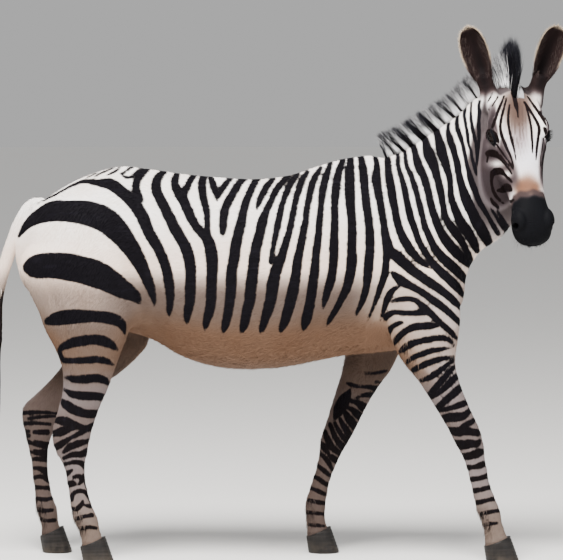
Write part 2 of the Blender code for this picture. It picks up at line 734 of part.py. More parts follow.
def build_head(neck_turned):
    bm = bmesh.new()
    add_head_forms(bm)
    add_tube(bm, neck_rings(through(NECK, 40)[12:], 48))
    bmesh.ops.recalc_face_normals(bm, faces=bm.faces)
    head = fused(finish_mesh(bm, "head"), HEAD_GRID)
    relax(head, 30)
    for side in (1, -1):
        head = combined(head, nostril_mesh(side), "DIFFERENCE", "MANIFOLD")
        head = combined(head, lid_opening(side), "DIFFERENCE", "MANIFOLD")
    head = combined(head, mouth_mesh(), "DIFFERENCE", "MANIFOLD")
    for side in ("left", "right"):
        ear = ear_frame(side)
        tip = box_mesh(Vector(), ear, (-0.06, -0.06, EAR_ROOT_HEIGHT), (0.06, 0.06, 0.20))
        head = combined(head, tip, "DIFFERENCE", "MANIFOLD")
    box = box_mesh(NECK_CUT_PLACE, neck_turned, (GAP, -FAR, -FAR), (FAR, FAR, FAR))
    head = combined(head, box, "INTERSECT", "MANIFOLD")
    head = thinned(head, HEAD_FACES)
    for side in (1, -1):
        head = combined(head, eyeball(side, EYE_RADIUS + GAP), "DIFFERENCE")
    return head


def ear_mesh(side):
    """A cupped ear: its foot is solid, its front opens, and its wall is as thick as a real one's."""
    ear, rings, around = ear_frame(side), [], 16
    for along, half_width, depth, opened in through(EAR, 13):
        wall = min(EAR_WALL, half_width * 0.35)
        ring = []
        for a in angles(around):
            back = math.sin(a) >= -1e-9
            x, y = half_width * math.cos(a), depth * math.sin(a)
            if not back:
                cup = (half_width - wall) * math.cos(a)
                hollow = (depth - wall) * math.sqrt(max(0.0, 1 - math.cos(a) ** 2)) - 0.004
                x, y = (1 - opened) * x + opened * cup, (1 - opened) * y + opened * hollow
            y -= 0.016 * opened * (abs(x) / max(half_width, 1e-4)) ** 2
            bend = 0.016 * along * along
            ring.append(ear @ Vector((x, y + bend, EAR_ROOT_HEIGHT + GAP + along * EAR_LENGTH)))
        rings.append(ring)
    return tube_mesh("ear", rings)


def lock_rings(root, tip, bend, wide, thick, across, steps=3):
    """A flat lock that keeps its width, then tapers to its tip, and bends on the way."""
    way = (tip - root).normalized()
    flat = (across - way * across.dot(way)).normalized()
    face = way.cross(flat)
    rings = []
    for k in range(steps + 1):
        t = k / steps
        middle = root.lerp(tip, t) + bend * (t * t - 0.4 * t)
        half, deep = wide * (1 - 0.88 * t**4) / 2, thick * (1 - 0.85 * t**1.4) / 2
        corners = ((half, 0), (0, deep), (-half, 0), (0, -deep))
        rings.append([middle + flat * f + face * d for f, d in corners])
    return rings


def mane_rows(count):
    return through([(x, y, z, length, lean) for x, y, z, length, lean in MANE_LINE], count)


def mane_frame(rows, k):
    """Forward along the crest, sideways, and the way that the hair stands."""
    ahead = Vector(rows[min(k + 1, len(rows) - 1)][:3]) - Vector(rows[max(k - 1, 0)][:3])
    plan = Vector((ahead.x, ahead.y, 0.0))
    plan = plan.normalized() if plan.length > 1e-5 else Vector((1, 0, 0))
    lean = math.radians(rows[k][4])
    hair = (Vector((0, 0, 1)) * math.cos(lean) - plan * math.sin(lean)).normalized()
    return ahead.normalized(), Vector((-plan.y, plan.x, 0.0)), hair


def mane_pieces(first, last, count, wide, draw):
    """The core of a stretch of mane, and the locks on both sides of it."""
    rows = mane_rows(61)
    low = next(k for k, row in enumerate(rows) if row[0] >= first - 1e-6)
    high = max(k for k, row in enumerate(rows) if row[0] <= last + 1e-6)
    core = []
    for k in range(low, high + 1, 3):
        ahead, side, hair = mane_frame(rows, k)
        foot = Vector(rows[k][:3]) - hair * 0.030
        crest = Vector(rows[k][:3]) + hair * (rows[k][3] * 0.45)
        middle, up = (foot + crest) / 2, (crest - foot) / 2
        core.append([middle + up * math.sin(a) + side * (0.012 * math.cos(a)) for a in angles(8)])
    pieces = [tube_mesh("core", core, split=True)]
    for n in range(count):
        spot = low + (high - low) * (n + 0.5) / count
        k = int(spot)
        ahead, side, hair = mane_frame(rows, k)
        place = Vector(rows[k][:3]).lerp(Vector(rows[min(k + 1, 60)][:3]), spot - k)
        row_side = 1 if n % 2 else -1
        length = rows[k][3] * draw.uniform(0.94, 1.05)
        root = place - hair * 0.024 + side * (row_side * 0.006)
        tip = place + hair * length + side * (row_side * draw.uniform(0.0, 0.007))
        bend = ahead * draw.uniform(-0.022, -0.004) + side * (row_side * draw.uniform(0.0, 0.010))
        leaf = lock_rings(root, tip, bend, wide * draw.uniform(0.88, 1.12), 0.016, ahead)
        pieces.append(tube_mesh("lock", leaf, split=True))
    return pieces


def joined(pieces, solver="MANIFOLD"):
    """One closed body from a node's pieces, by one union on their collection."""
    if len(pieces) == 1:
        return pieces[0]
    first = helper("first", pieces[0])
    group = bpy.data.collections.new("pieces")
    bpy.context.scene.collection.children.link(group)
    rest = []
    for mesh in pieces[1:]:
        thing = bpy.data.objects.new("piece", mesh)
        thing.hide_render = True
        group.objects.link(thing)
        rest.append(thing)
    modifier = first.modifiers.new("join", "BOOLEAN")
    modifier.operation, modifier.solver = "UNION", solver
    modifier.operand_type, modifier.collection = "COLLECTION", group
    made = baked(first)
    remove(first, *rest)
    bpy.data.collections.remove(group)
    return largest(made)


def brush_pieces(draw):
    """The tail's brush: a core half way down, and hanging locks in tiers round it."""
    rows = through(BRUSH_CORE, 12)
    pieces = [tube_mesh("core", round_rings(rows, 10), split=True)]
    for along, count, reach, out in ((0.08, 5, 0.62, 0.022), (0.40, 4, 0.82, 0.023), (0.72, 4, 1.0, 0.020)):
        row = rows[int(along * 11)]
        centre = Vector(row[:3])
        for n in range(count):
            turn = 2 * math.pi * (n + 0.5 * (along > 0.3)) / count + draw.uniform(-0.2, 0.2)
            side = Vector((math.cos(turn), math.sin(turn), 0.0))
            root = centre + side * (row[3] * 0.35) + Vector((0, 0, 0.012))
            end = rows[0][2] + (BRUSH_END.z - rows[0][2]) * reach * draw.uniform(0.93, 1.0)
            spread = out * (1.20 - 0.85 * reach)
            tip = Vector((centre.x + (BRUSH_END.x - centre.x) * reach, 0.0, end)) + side * spread
            across = Vector((-side.y, side.x, 0.0))
            bend = side * (-0.9 * out) + across * draw.uniform(-0.012, 0.012)
            leaf = lock_rings(root, tip, bend, draw.uniform(0.032, 0.040), 0.017, across, 3)
            pieces.append(tube_mesh("lock", leaf, split=True))
    return pieces


def material(name, colour, roughness, metallic=0.0):
    made = bpy.data.materials.new(name)
    made.use_nodes = True
    shader = made.node_tree.nodes["Principled BSDF"]
    shader.inputs["Base Color"].default_value = (*colour, 1.0)
    shader.inputs["Roughness"].default_value = roughness
    shader.inputs["Metallic"].default_value = metallic
    made.diffuse_color = (*colour, 1.0)
    return made


def is_sound(bm):
    return all(len(edge.link_faces) == 2 for edge in bm.edges) and bm.calc_volume(signed=True) > 0


def triangles(mesh):
    """The mesh in triangles, welded only as far as it takes to keep every edge between two faces."""
    for clip in ("BEAUTY", "EAR_CLIP"):
        for merge in MERGES:
            bm = bmesh.new()
            bm.from_mesh(mesh)
            if merge:
                bmesh.ops.remove_doubles(bm, verts=bm.verts, dist=merge)
                bmesh.ops.dissolve_degenerate(bm, dist=merge / 2, edges=bm.edges)
            bmesh.ops.triangulate(bm, faces=bm.faces, ngon_method=clip)
            bmesh.ops.recalc_face_normals(bm, faces=bm.faces)
            if is_sound(bm):
                bm.to_mesh(mesh)
                bm.free()
                return mesh
            bm.free()
    raise ValueError("no sound surface: " + mesh.name)


def node(name, mesh, finish, smooth=True):
    """A sub-part: its mesh is moved so that the origin is the middle of the outline."""
    mesh.name = name
    mesh.transform(Matrix.Translation(-MIDDLE))
    mesh = triangles(mesh)
    if smooth:
        mesh.shade_smooth()
        mesh.set_sharp_from_angle(angle=math.radians(40))
    mesh.materials.clear()
    mesh.materials.append(finish)
    thing = bpy.data.objects.new(name, mesh)
    bpy.context.scene.collection.objects.link(thing)
    return thing


def cleared(mesh, others):
    """The mesh with its neighbours' room, and the thin gap round them, cut away."""
    for other in others:
        mesh = combined(mesh, grown(other, 1.3 * GAP), "DIFFERENCE", "MANIFOLD")
    return mesh


def build():
    clear_scene()
    draw = np.random.RandomState(7)
    turned = neck_turn()
    bm = bmesh.new()
    add_body_forms(bm)
    add_head_forms(bm)
    bmesh.ops.recalc_face_normals(bm, faces=bm.faces)
    body = fused(finish_mesh(bm, "body"), BODY_GRID)
    relax(body, 60)
    body = thinned(body, BODY_FACES)
    nodes = build_legs(body)
    rear = box_mesh(NECK_CUT_PLACE, turned, (-FAR * 2, -FAR * 2, -FAR * 2), (0.0, FAR * 2, FAR * 2))
    body = combined(body, rear, "INTERSECT")
    for leg in LEGS:
        body = combined(body, leg_box(leg, GAP), "DIFFERENCE")
    chest = plane_turn(CHEST_CUT_LEAN)
    neck = combined(body.copy(), box_mesh(CHEST_CUT_PLACE, chest, (0.0, -FAR, -0.3), (FAR, FAR, FAR)), "INTERSECT")
    body = combined(body, box_mesh(CHEST_CUT_PLACE, chest, (-GAP, -FAR, -0.3 - GAP), (FAR, FAR, FAR)), "DIFFERENCE")
    nodes["torso"], nodes["neck"] = body, neck
    nodes["head"] = build_head(turned)
    for side in ("left", "right"):
        nodes["ear_" + side] = ear_mesh(side)
        nodes["eye_" + side] = eyeball(1 if side == "left" else -1, EYE_RADIUS)
    nodes["tail_dock"] = cleared(tube_mesh("dock", round_rings(through(DOCK, 13), 10)), [nodes["torso"]])
    nodes["tail_brush"] = cleared(joined(brush_pieces(draw)), [nodes["tail_dock"]])
    bearers = [nodes["torso"], nodes["neck"], nodes["head"]]
    nodes["mane"] = cleared(joined(mane_pieces(0.330, MANE_SPLIT, 26, 0.042, draw)), bearers)
    forelock = joined(mane_pieces(MANE_SPLIT, 0.750, 10, 0.034, draw))
    nodes["forelock"] = cleared(forelock, bearers + [nodes["mane"]])
    coat = material("striped_coat", COAT, 0.75)
    ears = material("ear_coat", EAR_COAT, 0.8)
    horn = material("hoof_horn", HOOF_HORN, 0.45)
    dark = material("eye", EYE_DARK, 0.08)
    hair = material("long_hair", HAIR_DARK, 0.6)
    for name, mesh in nodes.items():
        finish = coat
        if name.endswith("_hoof"):
            finish = horn
        elif name.startswith("eye_"):
            finish = dark
        elif name.startswith("ear_"):
            finish = ears
        elif name in ("mane", "forelock", "tail_brush"):
            finish = hair
        node(name, mesh, finish, smooth=finish is not hair)


build()
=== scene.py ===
"""A mountain zebra, life size, in a slow walk with its head turned to its right.

The lofts are in the model's own frame, in metres, +X the way it walks, +Y its left, and every
finished mesh is moved so that the origin is the middle of the outline, as the solids are.
"""

import json
import math

import bmesh
import bpy
import numpy as np
from mathutils import Matrix, Vector
from mathutils.bvhtree import BVHTree

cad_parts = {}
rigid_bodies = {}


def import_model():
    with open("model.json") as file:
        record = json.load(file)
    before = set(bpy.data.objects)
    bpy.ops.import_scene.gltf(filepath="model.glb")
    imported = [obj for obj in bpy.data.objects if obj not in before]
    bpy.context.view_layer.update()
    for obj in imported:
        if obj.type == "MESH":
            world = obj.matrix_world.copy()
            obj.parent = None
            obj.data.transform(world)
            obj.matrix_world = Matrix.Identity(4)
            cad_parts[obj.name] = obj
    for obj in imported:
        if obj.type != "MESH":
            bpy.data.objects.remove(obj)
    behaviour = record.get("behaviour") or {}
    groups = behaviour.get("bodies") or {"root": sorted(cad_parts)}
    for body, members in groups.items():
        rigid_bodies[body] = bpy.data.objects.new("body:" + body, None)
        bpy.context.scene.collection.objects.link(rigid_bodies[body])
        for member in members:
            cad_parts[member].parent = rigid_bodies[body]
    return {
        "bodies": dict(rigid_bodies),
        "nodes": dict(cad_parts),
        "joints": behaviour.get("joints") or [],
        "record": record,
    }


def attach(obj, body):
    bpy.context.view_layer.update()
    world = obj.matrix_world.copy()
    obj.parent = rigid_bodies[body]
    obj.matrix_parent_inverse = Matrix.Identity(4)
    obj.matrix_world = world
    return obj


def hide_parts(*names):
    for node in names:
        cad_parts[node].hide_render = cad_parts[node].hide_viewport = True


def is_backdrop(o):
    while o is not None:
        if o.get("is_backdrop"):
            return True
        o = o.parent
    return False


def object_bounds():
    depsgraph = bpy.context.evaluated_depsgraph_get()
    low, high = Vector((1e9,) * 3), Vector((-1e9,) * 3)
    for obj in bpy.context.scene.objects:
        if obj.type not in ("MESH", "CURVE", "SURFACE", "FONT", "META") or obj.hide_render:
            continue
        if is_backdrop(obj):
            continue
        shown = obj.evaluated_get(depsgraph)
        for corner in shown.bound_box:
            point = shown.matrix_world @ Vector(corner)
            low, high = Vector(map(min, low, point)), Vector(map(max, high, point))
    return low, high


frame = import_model()
SOLIDS_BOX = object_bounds()

EYE_RADIUS = 0.0205

# Places of the head: the poll between the ears, and how the head is turned and bent down.
POLL = Vector((0.731, -0.140, 1.510))
HEAD_TURN = math.radians(-75)
HEAD_DROP = math.radians(58)
HEAD_TILT = math.radians(2)

# The middle of the whole outline, which is the origin on the ground.
MIDDLE = Vector((-0.026, -0.052, 0.0))

# Grid sizes of the fused forms, and how deep the skin lies under the coat.
BODY_GRID = 0.0105
HEAD_GRID = 0.0034
COAT_DEPTH = 0.0020


# The trunk, from the buttocks to the point of the chest, with sections across X:
# x, top, bottom, half width, level of the widest place (0 bottom, 1 top), roundness above and below.
TRUNK = (
    (-0.853, 1.035, 0.965, 0.030, 0.50, 2.0, 2.0),
    (-0.827, 1.093, 0.878, 0.092, 0.50, 2.0, 2.0),
    (-0.776, 1.140, 0.830, 0.145, 0.48, 2.0, 2.0),
    (-0.712, 1.184, 0.792, 0.182, 0.48, 2.0, 2.0),
    (-0.631, 1.226, 0.760, 0.208, 0.48, 2.0, 2.0),
    (-0.519, 1.258, 0.734, 0.226, 0.50, 2.0, 2.1),
    (-0.423, 1.250, 0.708, 0.232, 0.47, 2.0, 2.2),
    (-0.311, 1.234, 0.647, 0.244, 0.44, 2.0, 2.2),
    (-0.199, 1.224, 0.615, 0.257, 0.42, 2.0, 2.2),
    (-0.087, 1.218, 0.609, 0.262, 0.42, 2.0, 2.2),
    (0.026, 1.231, 0.619, 0.256, 0.42, 1.95, 2.2),
    (0.122, 1.263, 0.638, 0.238, 0.42, 1.85, 2.1),
    (0.218, 1.288, 0.654, 0.214, 0.42, 1.70, 2.0),
    (0.314, 1.290, 0.663, 0.196, 0.42, 1.60, 2.0),
    (0.410, 1.250, 0.676, 0.184, 0.45, 1.70, 2.0),
    (0.490, 1.170, 0.708, 0.164, 0.45, 1.9, 2.0),
    (0.545, 1.060, 0.760, 0.130, 0.48, 2.0, 2.0),
    (0.580, 0.952, 0.830, 0.060, 0.50, 2.0, 2.0),
)

# The neck, from inside the chest to inside the skull: middle, half depth, half width,
# lean of the section from upright and turn to the right, in degrees.
NECK = (
    (0.290, 0.000, 0.985, 0.220, 0.120, 27.0, 0.0),
    (0.370, 0.000, 1.018, 0.270, 0.160, 27.0, 0.5),
    (0.454, 0.000, 1.053, 0.266, 0.160, 27.3, 2.0),
    (0.498, -0.006, 1.117, 0.224, 0.132, 24.9, 9.0),
    (0.559, -0.022, 1.179, 0.206, 0.112, 21.4, 20.0),
    (0.623, -0.050, 1.226, 0.208, 0.100, 18.2, 32.0),
    (0.675, -0.085, 1.290, 0.196, 0.090, 17.6, 44.0),
    (0.700, -0.115, 1.335, 0.160, 0.078, 17.0, 52.0),
)
NECK_LEVEL = 0.42
NECK_CREST_ROUNDNESS = 1.55
NECK_THROAT_ROUNDNESS = 2.0

# Each leg from inside the body to the coronet: height, back, front, side place, half width.
LEGS = {
    "hindleg_right": (
        (1.047, -0.770, -0.470, -0.140, 0.075),
        (0.961, -0.830, -0.435, -0.150, 0.092),
        (0.871, -0.804, -0.436, -0.152, 0.098),
        (0.813, -0.776, -0.452, -0.152, 0.097),
        (0.743, -0.750, -0.481, -0.152, 0.092),
        (0.688, -0.721, -0.503, -0.152, 0.083),
        (0.611, -0.696, -0.532, -0.149, 0.067),
        (0.557, -0.696, -0.551, -0.146, 0.055),
        (0.512, -0.706, -0.571, -0.144, 0.046),
        (0.461, -0.721, -0.590, -0.142, 0.042),
        (0.409, -0.732, -0.606, -0.140, 0.042),
        (0.361, -0.722, -0.615, -0.139, 0.036),
        (0.307, -0.694, -0.625, -0.138, 0.028),
        (0.246, -0.682, -0.620, -0.137, 0.027),
        (0.191, -0.674, -0.606, -0.136, 0.030),
        (0.143, -0.665, -0.586, -0.136, 0.037),
        (0.098, -0.644, -0.576, -0.135, 0.032),
        (0.040, -0.637, -0.556, -0.135, 0.036),
    ),
    "hindleg_left": (
        (1.030, -0.770, -0.470, 0.140, 0.075),
        (0.943, -0.808, -0.430, 0.150, 0.092),
        (0.821, -0.760, -0.420, 0.152, 0.098),
        (0.725, -0.706, -0.424, 0.152, 0.093),
        (0.677, -0.690, -0.436, 0.151, 0.085),
        (0.639, -0.699, -0.465, 0.150, 0.075),
        (0.600, -0.721, -0.506, 0.148, 0.066),
        (0.565, -0.750, -0.551, 0.146, 0.058),
        (0.533, -0.782, -0.596, 0.144, 0.050),
        (0.504, -0.814, -0.641, 0.142, 0.045),
        (0.475, -0.842, -0.679, 0.141, 0.042),
        (0.443, -0.847, -0.712, 0.140, 0.042),
        (0.398, -0.838, -0.738, 0.139, 0.040),
        (0.354, -0.829, -0.755, 0.138, 0.034),
        (0.309, -0.818, -0.760, 0.137, 0.028),
        (0.251, -0.812, -0.758, 0.136, 0.026),
        (0.187, -0.804, -0.747, 0.136, 0.030),
        (0.136, -0.799, -0.729, 0.135, 0.036),
        (0.097, -0.786, -0.726, 0.135, 0.031),
        (0.040, -0.783, -0.704, 0.135, 0.036),
    ),
    "foreleg_right": (
        (0.999, 0.330, 0.500, -0.100, 0.045),
        (0.930, 0.315, 0.535, -0.126, 0.062),
        (0.871, 0.310, 0.558, -0.138, 0.070),
        (0.775, 0.327, 0.566, -0.146, 0.076),
        (0.695, 0.353, 0.556, -0.144, 0.072),
        (0.640, 0.385, 0.551, -0.142, 0.065),
        (0.589, 0.426, 0.561, -0.140, 0.058),
        (0.538, 0.460, 0.579, -0.138, 0.050),
        (0.483, 0.494, 0.603, -0.136, 0.043),
        (0.429, 0.526, 0.628, -0.134, 0.043),
        (0.384, 0.548, 0.641, -0.132, 0.038),
        (0.336, 0.574, 0.647, -0.130, 0.029),
        (0.294, 0.588, 0.654, -0.129, 0.026),
        (0.249, 0.599, 0.663, -0.128, 0.026),
        (0.207, 0.609, 0.679, -0.127, 0.030),
        (0.169, 0.619, 0.694, -0.126, 0.035),
        (0.121, 0.638, 0.704, -0.126, 0.031),
        (0.040, 0.646, 0.738, -0.125, 0.037),
    ),
    "foreleg_left": (
        (0.982, 0.260, 0.470, 0.100, 0.045),
        (0.900, 0.235, 0.485, 0.130, 0.064),
        (0.821, 0.218, 0.468, 0.142, 0.072),
        (0.725, 0.208, 0.410, 0.144, 0.074),
        (0.642, 0.204, 0.378, 0.141, 0.067),
        (0.597, 0.196, 0.356, 0.139, 0.060),
        (0.543, 0.179, 0.317, 0.137, 0.051),
        (0.482, 0.160, 0.279, 0.135, 0.044),
        (0.424, 0.142, 0.250, 0.133, 0.042),
        (0.373, 0.125, 0.224, 0.131, 0.040),
        (0.318, 0.118, 0.192, 0.130, 0.030),
        (0.277, 0.110, 0.174, 0.129, 0.026),
        (0.232, 0.096, 0.157, 0.128, 0.026),
        (0.190, 0.083, 0.148, 0.127, 0.029),
        (0.158, 0.074, 0.144, 0.126, 0.034),
        (0.116, 0.078, 0.140, 0.126, 0.031),
        (0.040, 0.082, 0.168, 0.125, 0.037),
    ),
}

# Each hoof: back and front of the sole and of the coronet, and the side place.
HOOVES = {
    "hindleg_right": (-0.634, -0.532, -0.645, -0.562, -0.135),
    "hindleg_left": (-0.781, -0.681, -0.790, -0.711, 0.135),
    "foreleg_right": (0.648, 0.758, 0.640, 0.727, -0.125),
    "foreleg_left": (0.083, 0.188, 0.076, 0.158, 0.125),
}
HOOF_HALF_WIDTH = 0.048
CORONET_HALF_WIDTH = 0.040
CORONET_BACK, CORONET_FRONT = 0.050, 0.085

# The head in its own frame: along it from the poll, above the poll, sideways.
# Along, top, bottom, half width, level of the widest place, roundness above and below.
SKULL = (
    (-0.045, -0.055, -0.095, 0.020, 0.5, 2.0, 2.0),
    (-0.025, -0.015, -0.125, 0.054, 0.6, 2.0, 2.0),
    (0.020, 0.006, -0.155, 0.073, 0.6, 2.0, 2.2),
    (0.070, 0.016, -0.195, 0.083, 0.66, 2.2, 2.4),
    (0.120, 0.020, -0.224, 0.088, 0.72, 2.4, 2.6),
    (0.155, 0.019, -0.232, 0.090, 0.74, 2.5, 2.7),
    (0.200, 0.014, -0.220, 0.083, 0.70, 2.4, 2.6),
    (0.250, 0.006, -0.190, 0.069, 0.64, 2.3, 2.3),
    (0.310, -0.002, -0.160, 0.057, 0.60, 2.2, 2.1),
    (0.370, -0.010, -0.140, 0.053, 0.56, 2.2, 2.1),
    (0.415, -0.016, -0.131, 0.059, 0.54, 2.2, 2.2),
    (0.450, -0.024, -0.128, 0.065, 0.52, 2.3, 2.3),
    (0.480, -0.036, -0.127, 0.061, 0.50, 2.3, 2.3),
    (0.503, -0.053, -0.121, 0.049, 0.50, 2.2, 2.2),
    (0.518, -0.078, -0.105, 0.018, 0.50, 2.0, 2.0),
)

# Rounded forms on one side of the head, mirrored: middle, then half sizes.
HEAD_LUMPS = (
    ((0.150, 0.050, -0.130), (0.085, 0.043, 0.085)),
    ((0.138, 0.068, -0.012), (0.046, 0.026, 0.030)),
    ((0.245, 0.044, -0.080), (0.095, 0.018, 0.018)),
    ((0.085, 0.056, -0.018), (0.055, 0.028, 0.030)),
    ((0.448, 0.043, -0.058), (0.042, 0.027, 0.034)),
    ((0.486, 0.018, -0.084), (0.026, 0.036, 0.026)),
    ((0.478, 0.014, -0.115), (0.028, 0.028, 0.021)),
)
EYE_PLACE = Vector((0.157, 0.0805, -0.034))
EYE_OUTWARD = Vector((0.26, 0.94, 0.20)).normalized()
LID = 0.0042
OPENING_LENGTH, OPENING_HEIGHT = 0.046, 0.029

# Ears: foot on the skull in the head's frame, and world directions of the two ears.
EAR_FOOT = Vector((0.004, 0.076, -0.022))
EAR_ROOT_HEIGHT = 0.030
EAR_LENGTH = 0.190
EAR_AIMS = {"left": Vector((0.072, -0.025, 0.206)), "right": Vector((-0.068, -0.025, 0.196))}

# Along the ear from 0 to 1, half width, depth of the cup, how open its front is.
EAR = (
    (0.00, 0.0250, 0.0240, 0.0),
    (0.05, 0.0255, 0.0250, 0.15),
    (0.12, 0.0280, 0.0280, 0.70),
    (0.22, 0.0340, 0.0320, 0.95),
    (0.36, 0.0410, 0.0340, 1.0),
    (0.52, 0.0445, 0.0330, 1.0),
    (0.66, 0.0440, 0.0300, 1.0),
    (0.79, 0.0385, 0.0240, 1.0),
    (0.90, 0.0270, 0.0160, 1.0),
    (0.97, 0.0140, 0.0080, 1.0),
    (1.00, 0.0050, 0.0030, 0.6),
)
EAR_WALL = 0.0045

# The tail's bone, from inside the croup down, with its half thickness.
DOCK = (
    (-0.740, 0.000, 1.120, 0.030),
    (-0.790, 0.000, 1.128, 0.029),
    (-0.827, 0.000, 1.086, 0.026),
    (-0.859, 0.000, 1.020, 0.022),
    (-0.885, 0.000, 0.950, 0.0195),
    (-0.904, 0.000, 0.878, 0.0175),
    (-0.917, 0.000, 0.812, 0.0155),
)

# The core under the tail's brush of hair, from the end of the dock.
BRUSH_CORE = (
    (-0.9172, 0.000, 0.8117, 0.0160),
    (-0.922, 0.000, 0.770, 0.0210),
    (-0.928, 0.000, 0.700, 0.0220),
    (-0.929, 0.000, 0.620, 0.0140),
)
BRUSH_END = Vector((-0.917, 0.0, 0.375))

# The line that the mane stands on: place, length of hair, lean back from upright in degrees.
MANE_LINE = (
    (0.330, 0.000, 1.292, 0.062, 20.0),
    (0.360, 0.000, 1.305, 0.088, 38.0),
    (0.404, 0.000, 1.321, 0.092, 43.0),
    (0.484, -0.012, 1.372, 0.092, 42.0),
    (0.558, -0.032, 1.426, 0.090, 40.0),
    (0.619, -0.066, 1.480, 0.094, 34.0),
    (0.672, -0.100, 1.508, 0.110, 26.0),
    (0.712, -0.124, 1.520, 0.135, 14.0),
    (0.736, -0.140, 1.520, 0.160, 4.0),
    (0.744, -0.160, 1.507, 0.150, -4.0),
    (0.750, -0.180, 1.488, 0.110, -14.0),
)
MANE_SPLIT = 0.680


def through(stations, count):
    """Rows read evenly along a smooth curve through the stations."""
    rows = np.array(stations, float)
    steps = np.linalg.norm(np.diff(rows[:, :3], axis=0), axis=1)
    at = np.concatenate([[0.0], np.cumsum(steps)])
    slopes = np.gradient(rows, at, axis=0)
    places = np.linspace(0.0, at[-1], count)
    k = np.clip(np.searchsorted(at, places, side="right") - 1, 0, len(at) - 2)
    span = (at[k + 1] - at[k])[:, None]
    t = (places[:, None] - at[k][:, None]) / span
    return (
        rows[k] * (1 + 2 * t) * (1 - t) ** 2
        + slopes[k] * span * t * (1 - t) ** 2
        + rows[k + 1] * t * t * (3 - 2 * t)
        + slopes[k + 1] * span * t * t * (t - 1)
    )


def power(value, exponent):
    return math.copysign(abs(value) ** exponent, value)


def section(angle, top, bottom, half_width, level, above, below):
    """(sideways, height) of a point on a rounded section that is widest at its level."""
    middle = bottom + (top - bottom) * level
    exponent = 2.0 / (above if math.sin(angle) > 0 else below)
    reach = (top - middle) if math.sin(angle) > 0 else (middle - bottom)
    return half_width * power(math.cos(angle), exponent), middle + reach * power(math.sin(angle), exponent)


def add_tube(bm, rings):
    """A closed tube through the rings, made from a grid whose seam and ends are welded."""
    rings = np.asarray(rings, float)
    along, around = rings.shape[0] + 1, rings.shape[1]
    made = bmesh.ops.create_grid(bm, x_segments=along, y_segments=around, size=0.5)["verts"]
    ends = (rings[0].mean(0), rings[-1].mean(0))
    for v in made:
        i = round((v.co.x + 0.5) * along)
        j = round((v.co.y + 0.5) * around) % around
        if i == 0 or i == along:
            v.co = ends[0 if i == 0 else 1]
        else:
            v.co = rings[i - 1][j]
    bmesh.ops.remove_doubles(bm, verts=made, dist=1e-6)


def tube_mesh(name, rings, split=False):
    bm = bmesh.new()
    add_tube(bm, rings)
    bmesh.ops.recalc_face_normals(bm, faces=bm.faces)
    if split:
        bmesh.ops.triangulate(bm, faces=bm.faces)
    return finish_mesh(bm, name)


def finish_mesh(bm, name):
    mesh = bpy.data.meshes.new(name)
    bm.to_mesh(mesh)
    bm.free()
    return mesh


def add_lump(bm, matrix, middle, sizes):
    """An egg-shaped form, as a stretched ball."""
    placed = matrix @ Matrix.Translation(middle) @ Matrix.Diagonal((*sizes, 1.0))
    bmesh.ops.create_uvsphere(bm, u_segments=20, v_segments=12, radius=1.0, matrix=placed)


def head_frame():
    """The head's own frame: X along it to the nose, Y to its left, Z up out of the forehead."""
    turned = Matrix.Rotation(HEAD_TURN, 4, "Z") @ Matrix.Rotation(HEAD_DROP, 4, "Y")
    return Matrix.Translation(POLL) @ turned @ Matrix.Rotation(HEAD_TILT, 4, "X")


def angles(count):
    return [2 * math.pi * k / count for k in range(count)]


def trunk_rings(rows, around):
    rings = []
    for x, top, bottom, half_width, level, above, below in rows:
        points = [section(a, top, bottom, half_width, level, above, below) for a in angles(around)]
        rings.append([(x, side, height) for side, height in points])
    return rings


def neck_rings(rows, around):
    rings = []
    for x, y, z, depth, half_width, lean, turn in rows:
        up = Vector((-math.sin(math.radians(lean)), 0.0, math.cos(math.radians(lean))))
        left = Vector((math.sin(math.radians(turn)), math.cos(math.radians(turn)), 0.0))
        ring = []
        for a in angles(around):
            side, height = section(
                a, depth, -depth, half_width, NECK_LEVEL, NECK_CREST_ROUNDNESS, NECK_THROAT_ROUNDNESS
            )
            ring.append(Vector((x, y, z)) + up * height + left * side)
        rings.append(ring)
    return rings


def leg_rings(rows, around):
    rings = []
    for z, back, front, side, half_width in rows:
        middle, reach = (back + front) / 2, (front - back) / 2
        rings.append(
            [(middle + reach * math.cos(a), side + half_width * math.sin(a), z) for a in angles(around)]
        )
    return rings


def round_rings(rows, around):
    """Rings of a round form that hangs in the XZ plane."""
    rows = np.asarray(rows, float)
    heading = np.gradient(rows[:, :3], axis=0)
    rings = []
    for (x, y, z, radius), way in zip(rows, heading):
        across = Vector((way[2], 0.0, -way[0])).normalized()
        rings.append(
            [
                Vector((x, y, z)) + across * (radius * math.cos(a)) + Vector((0, radius * math.sin(a), 0))
                for a in angles(around)
            ]
        )
    return rings


def eye_frame(side):
    """The eye's frame in the world: X along the head, Y out of the head, Z to the brow. Side is 1 or -1."""
    out = Vector((EYE_OUTWARD.x, EYE_OUTWARD.y * side, EYE_OUTWARD.z))
    along = Vector((0.95, -0.10 * side, -0.28))
    along = (along - out * along.dot(out)).normalized()
    brow = along.cross(out) * side
    if brow.z < 0:
        brow = -brow
    turned = Matrix((along, out, brow)).transposed().to_4x4()
    place = Vector((EYE_PLACE.x, EYE_PLACE.y * side, EYE_PLACE.z))
    return head_frame() @ Matrix.Translation(place) @ turned


def lid_opening(side):
    """A long almond-shaped plug that opens the lids over the eyeball."""
    frame, rings = eye_frame(side), []
    for out, size in ((0.004, 0.80), (EYE_RADIUS, 1.0), (0.034, 1.12)):
        ring = []
        for a in angles(24):
            x = OPENING_LENGTH / 2 * math.cos(a)
            droop = 1.0 if math.sin(a) > 0 else 0.72
            z = OPENING_HEIGHT / 2 * droop * power(math.sin(a), 1.25)
            ring.append(frame @ Vector((size * x, out, size * z + 0.10 * x)))
        rings.append(ring)
    return tube_mesh("opening", rings)


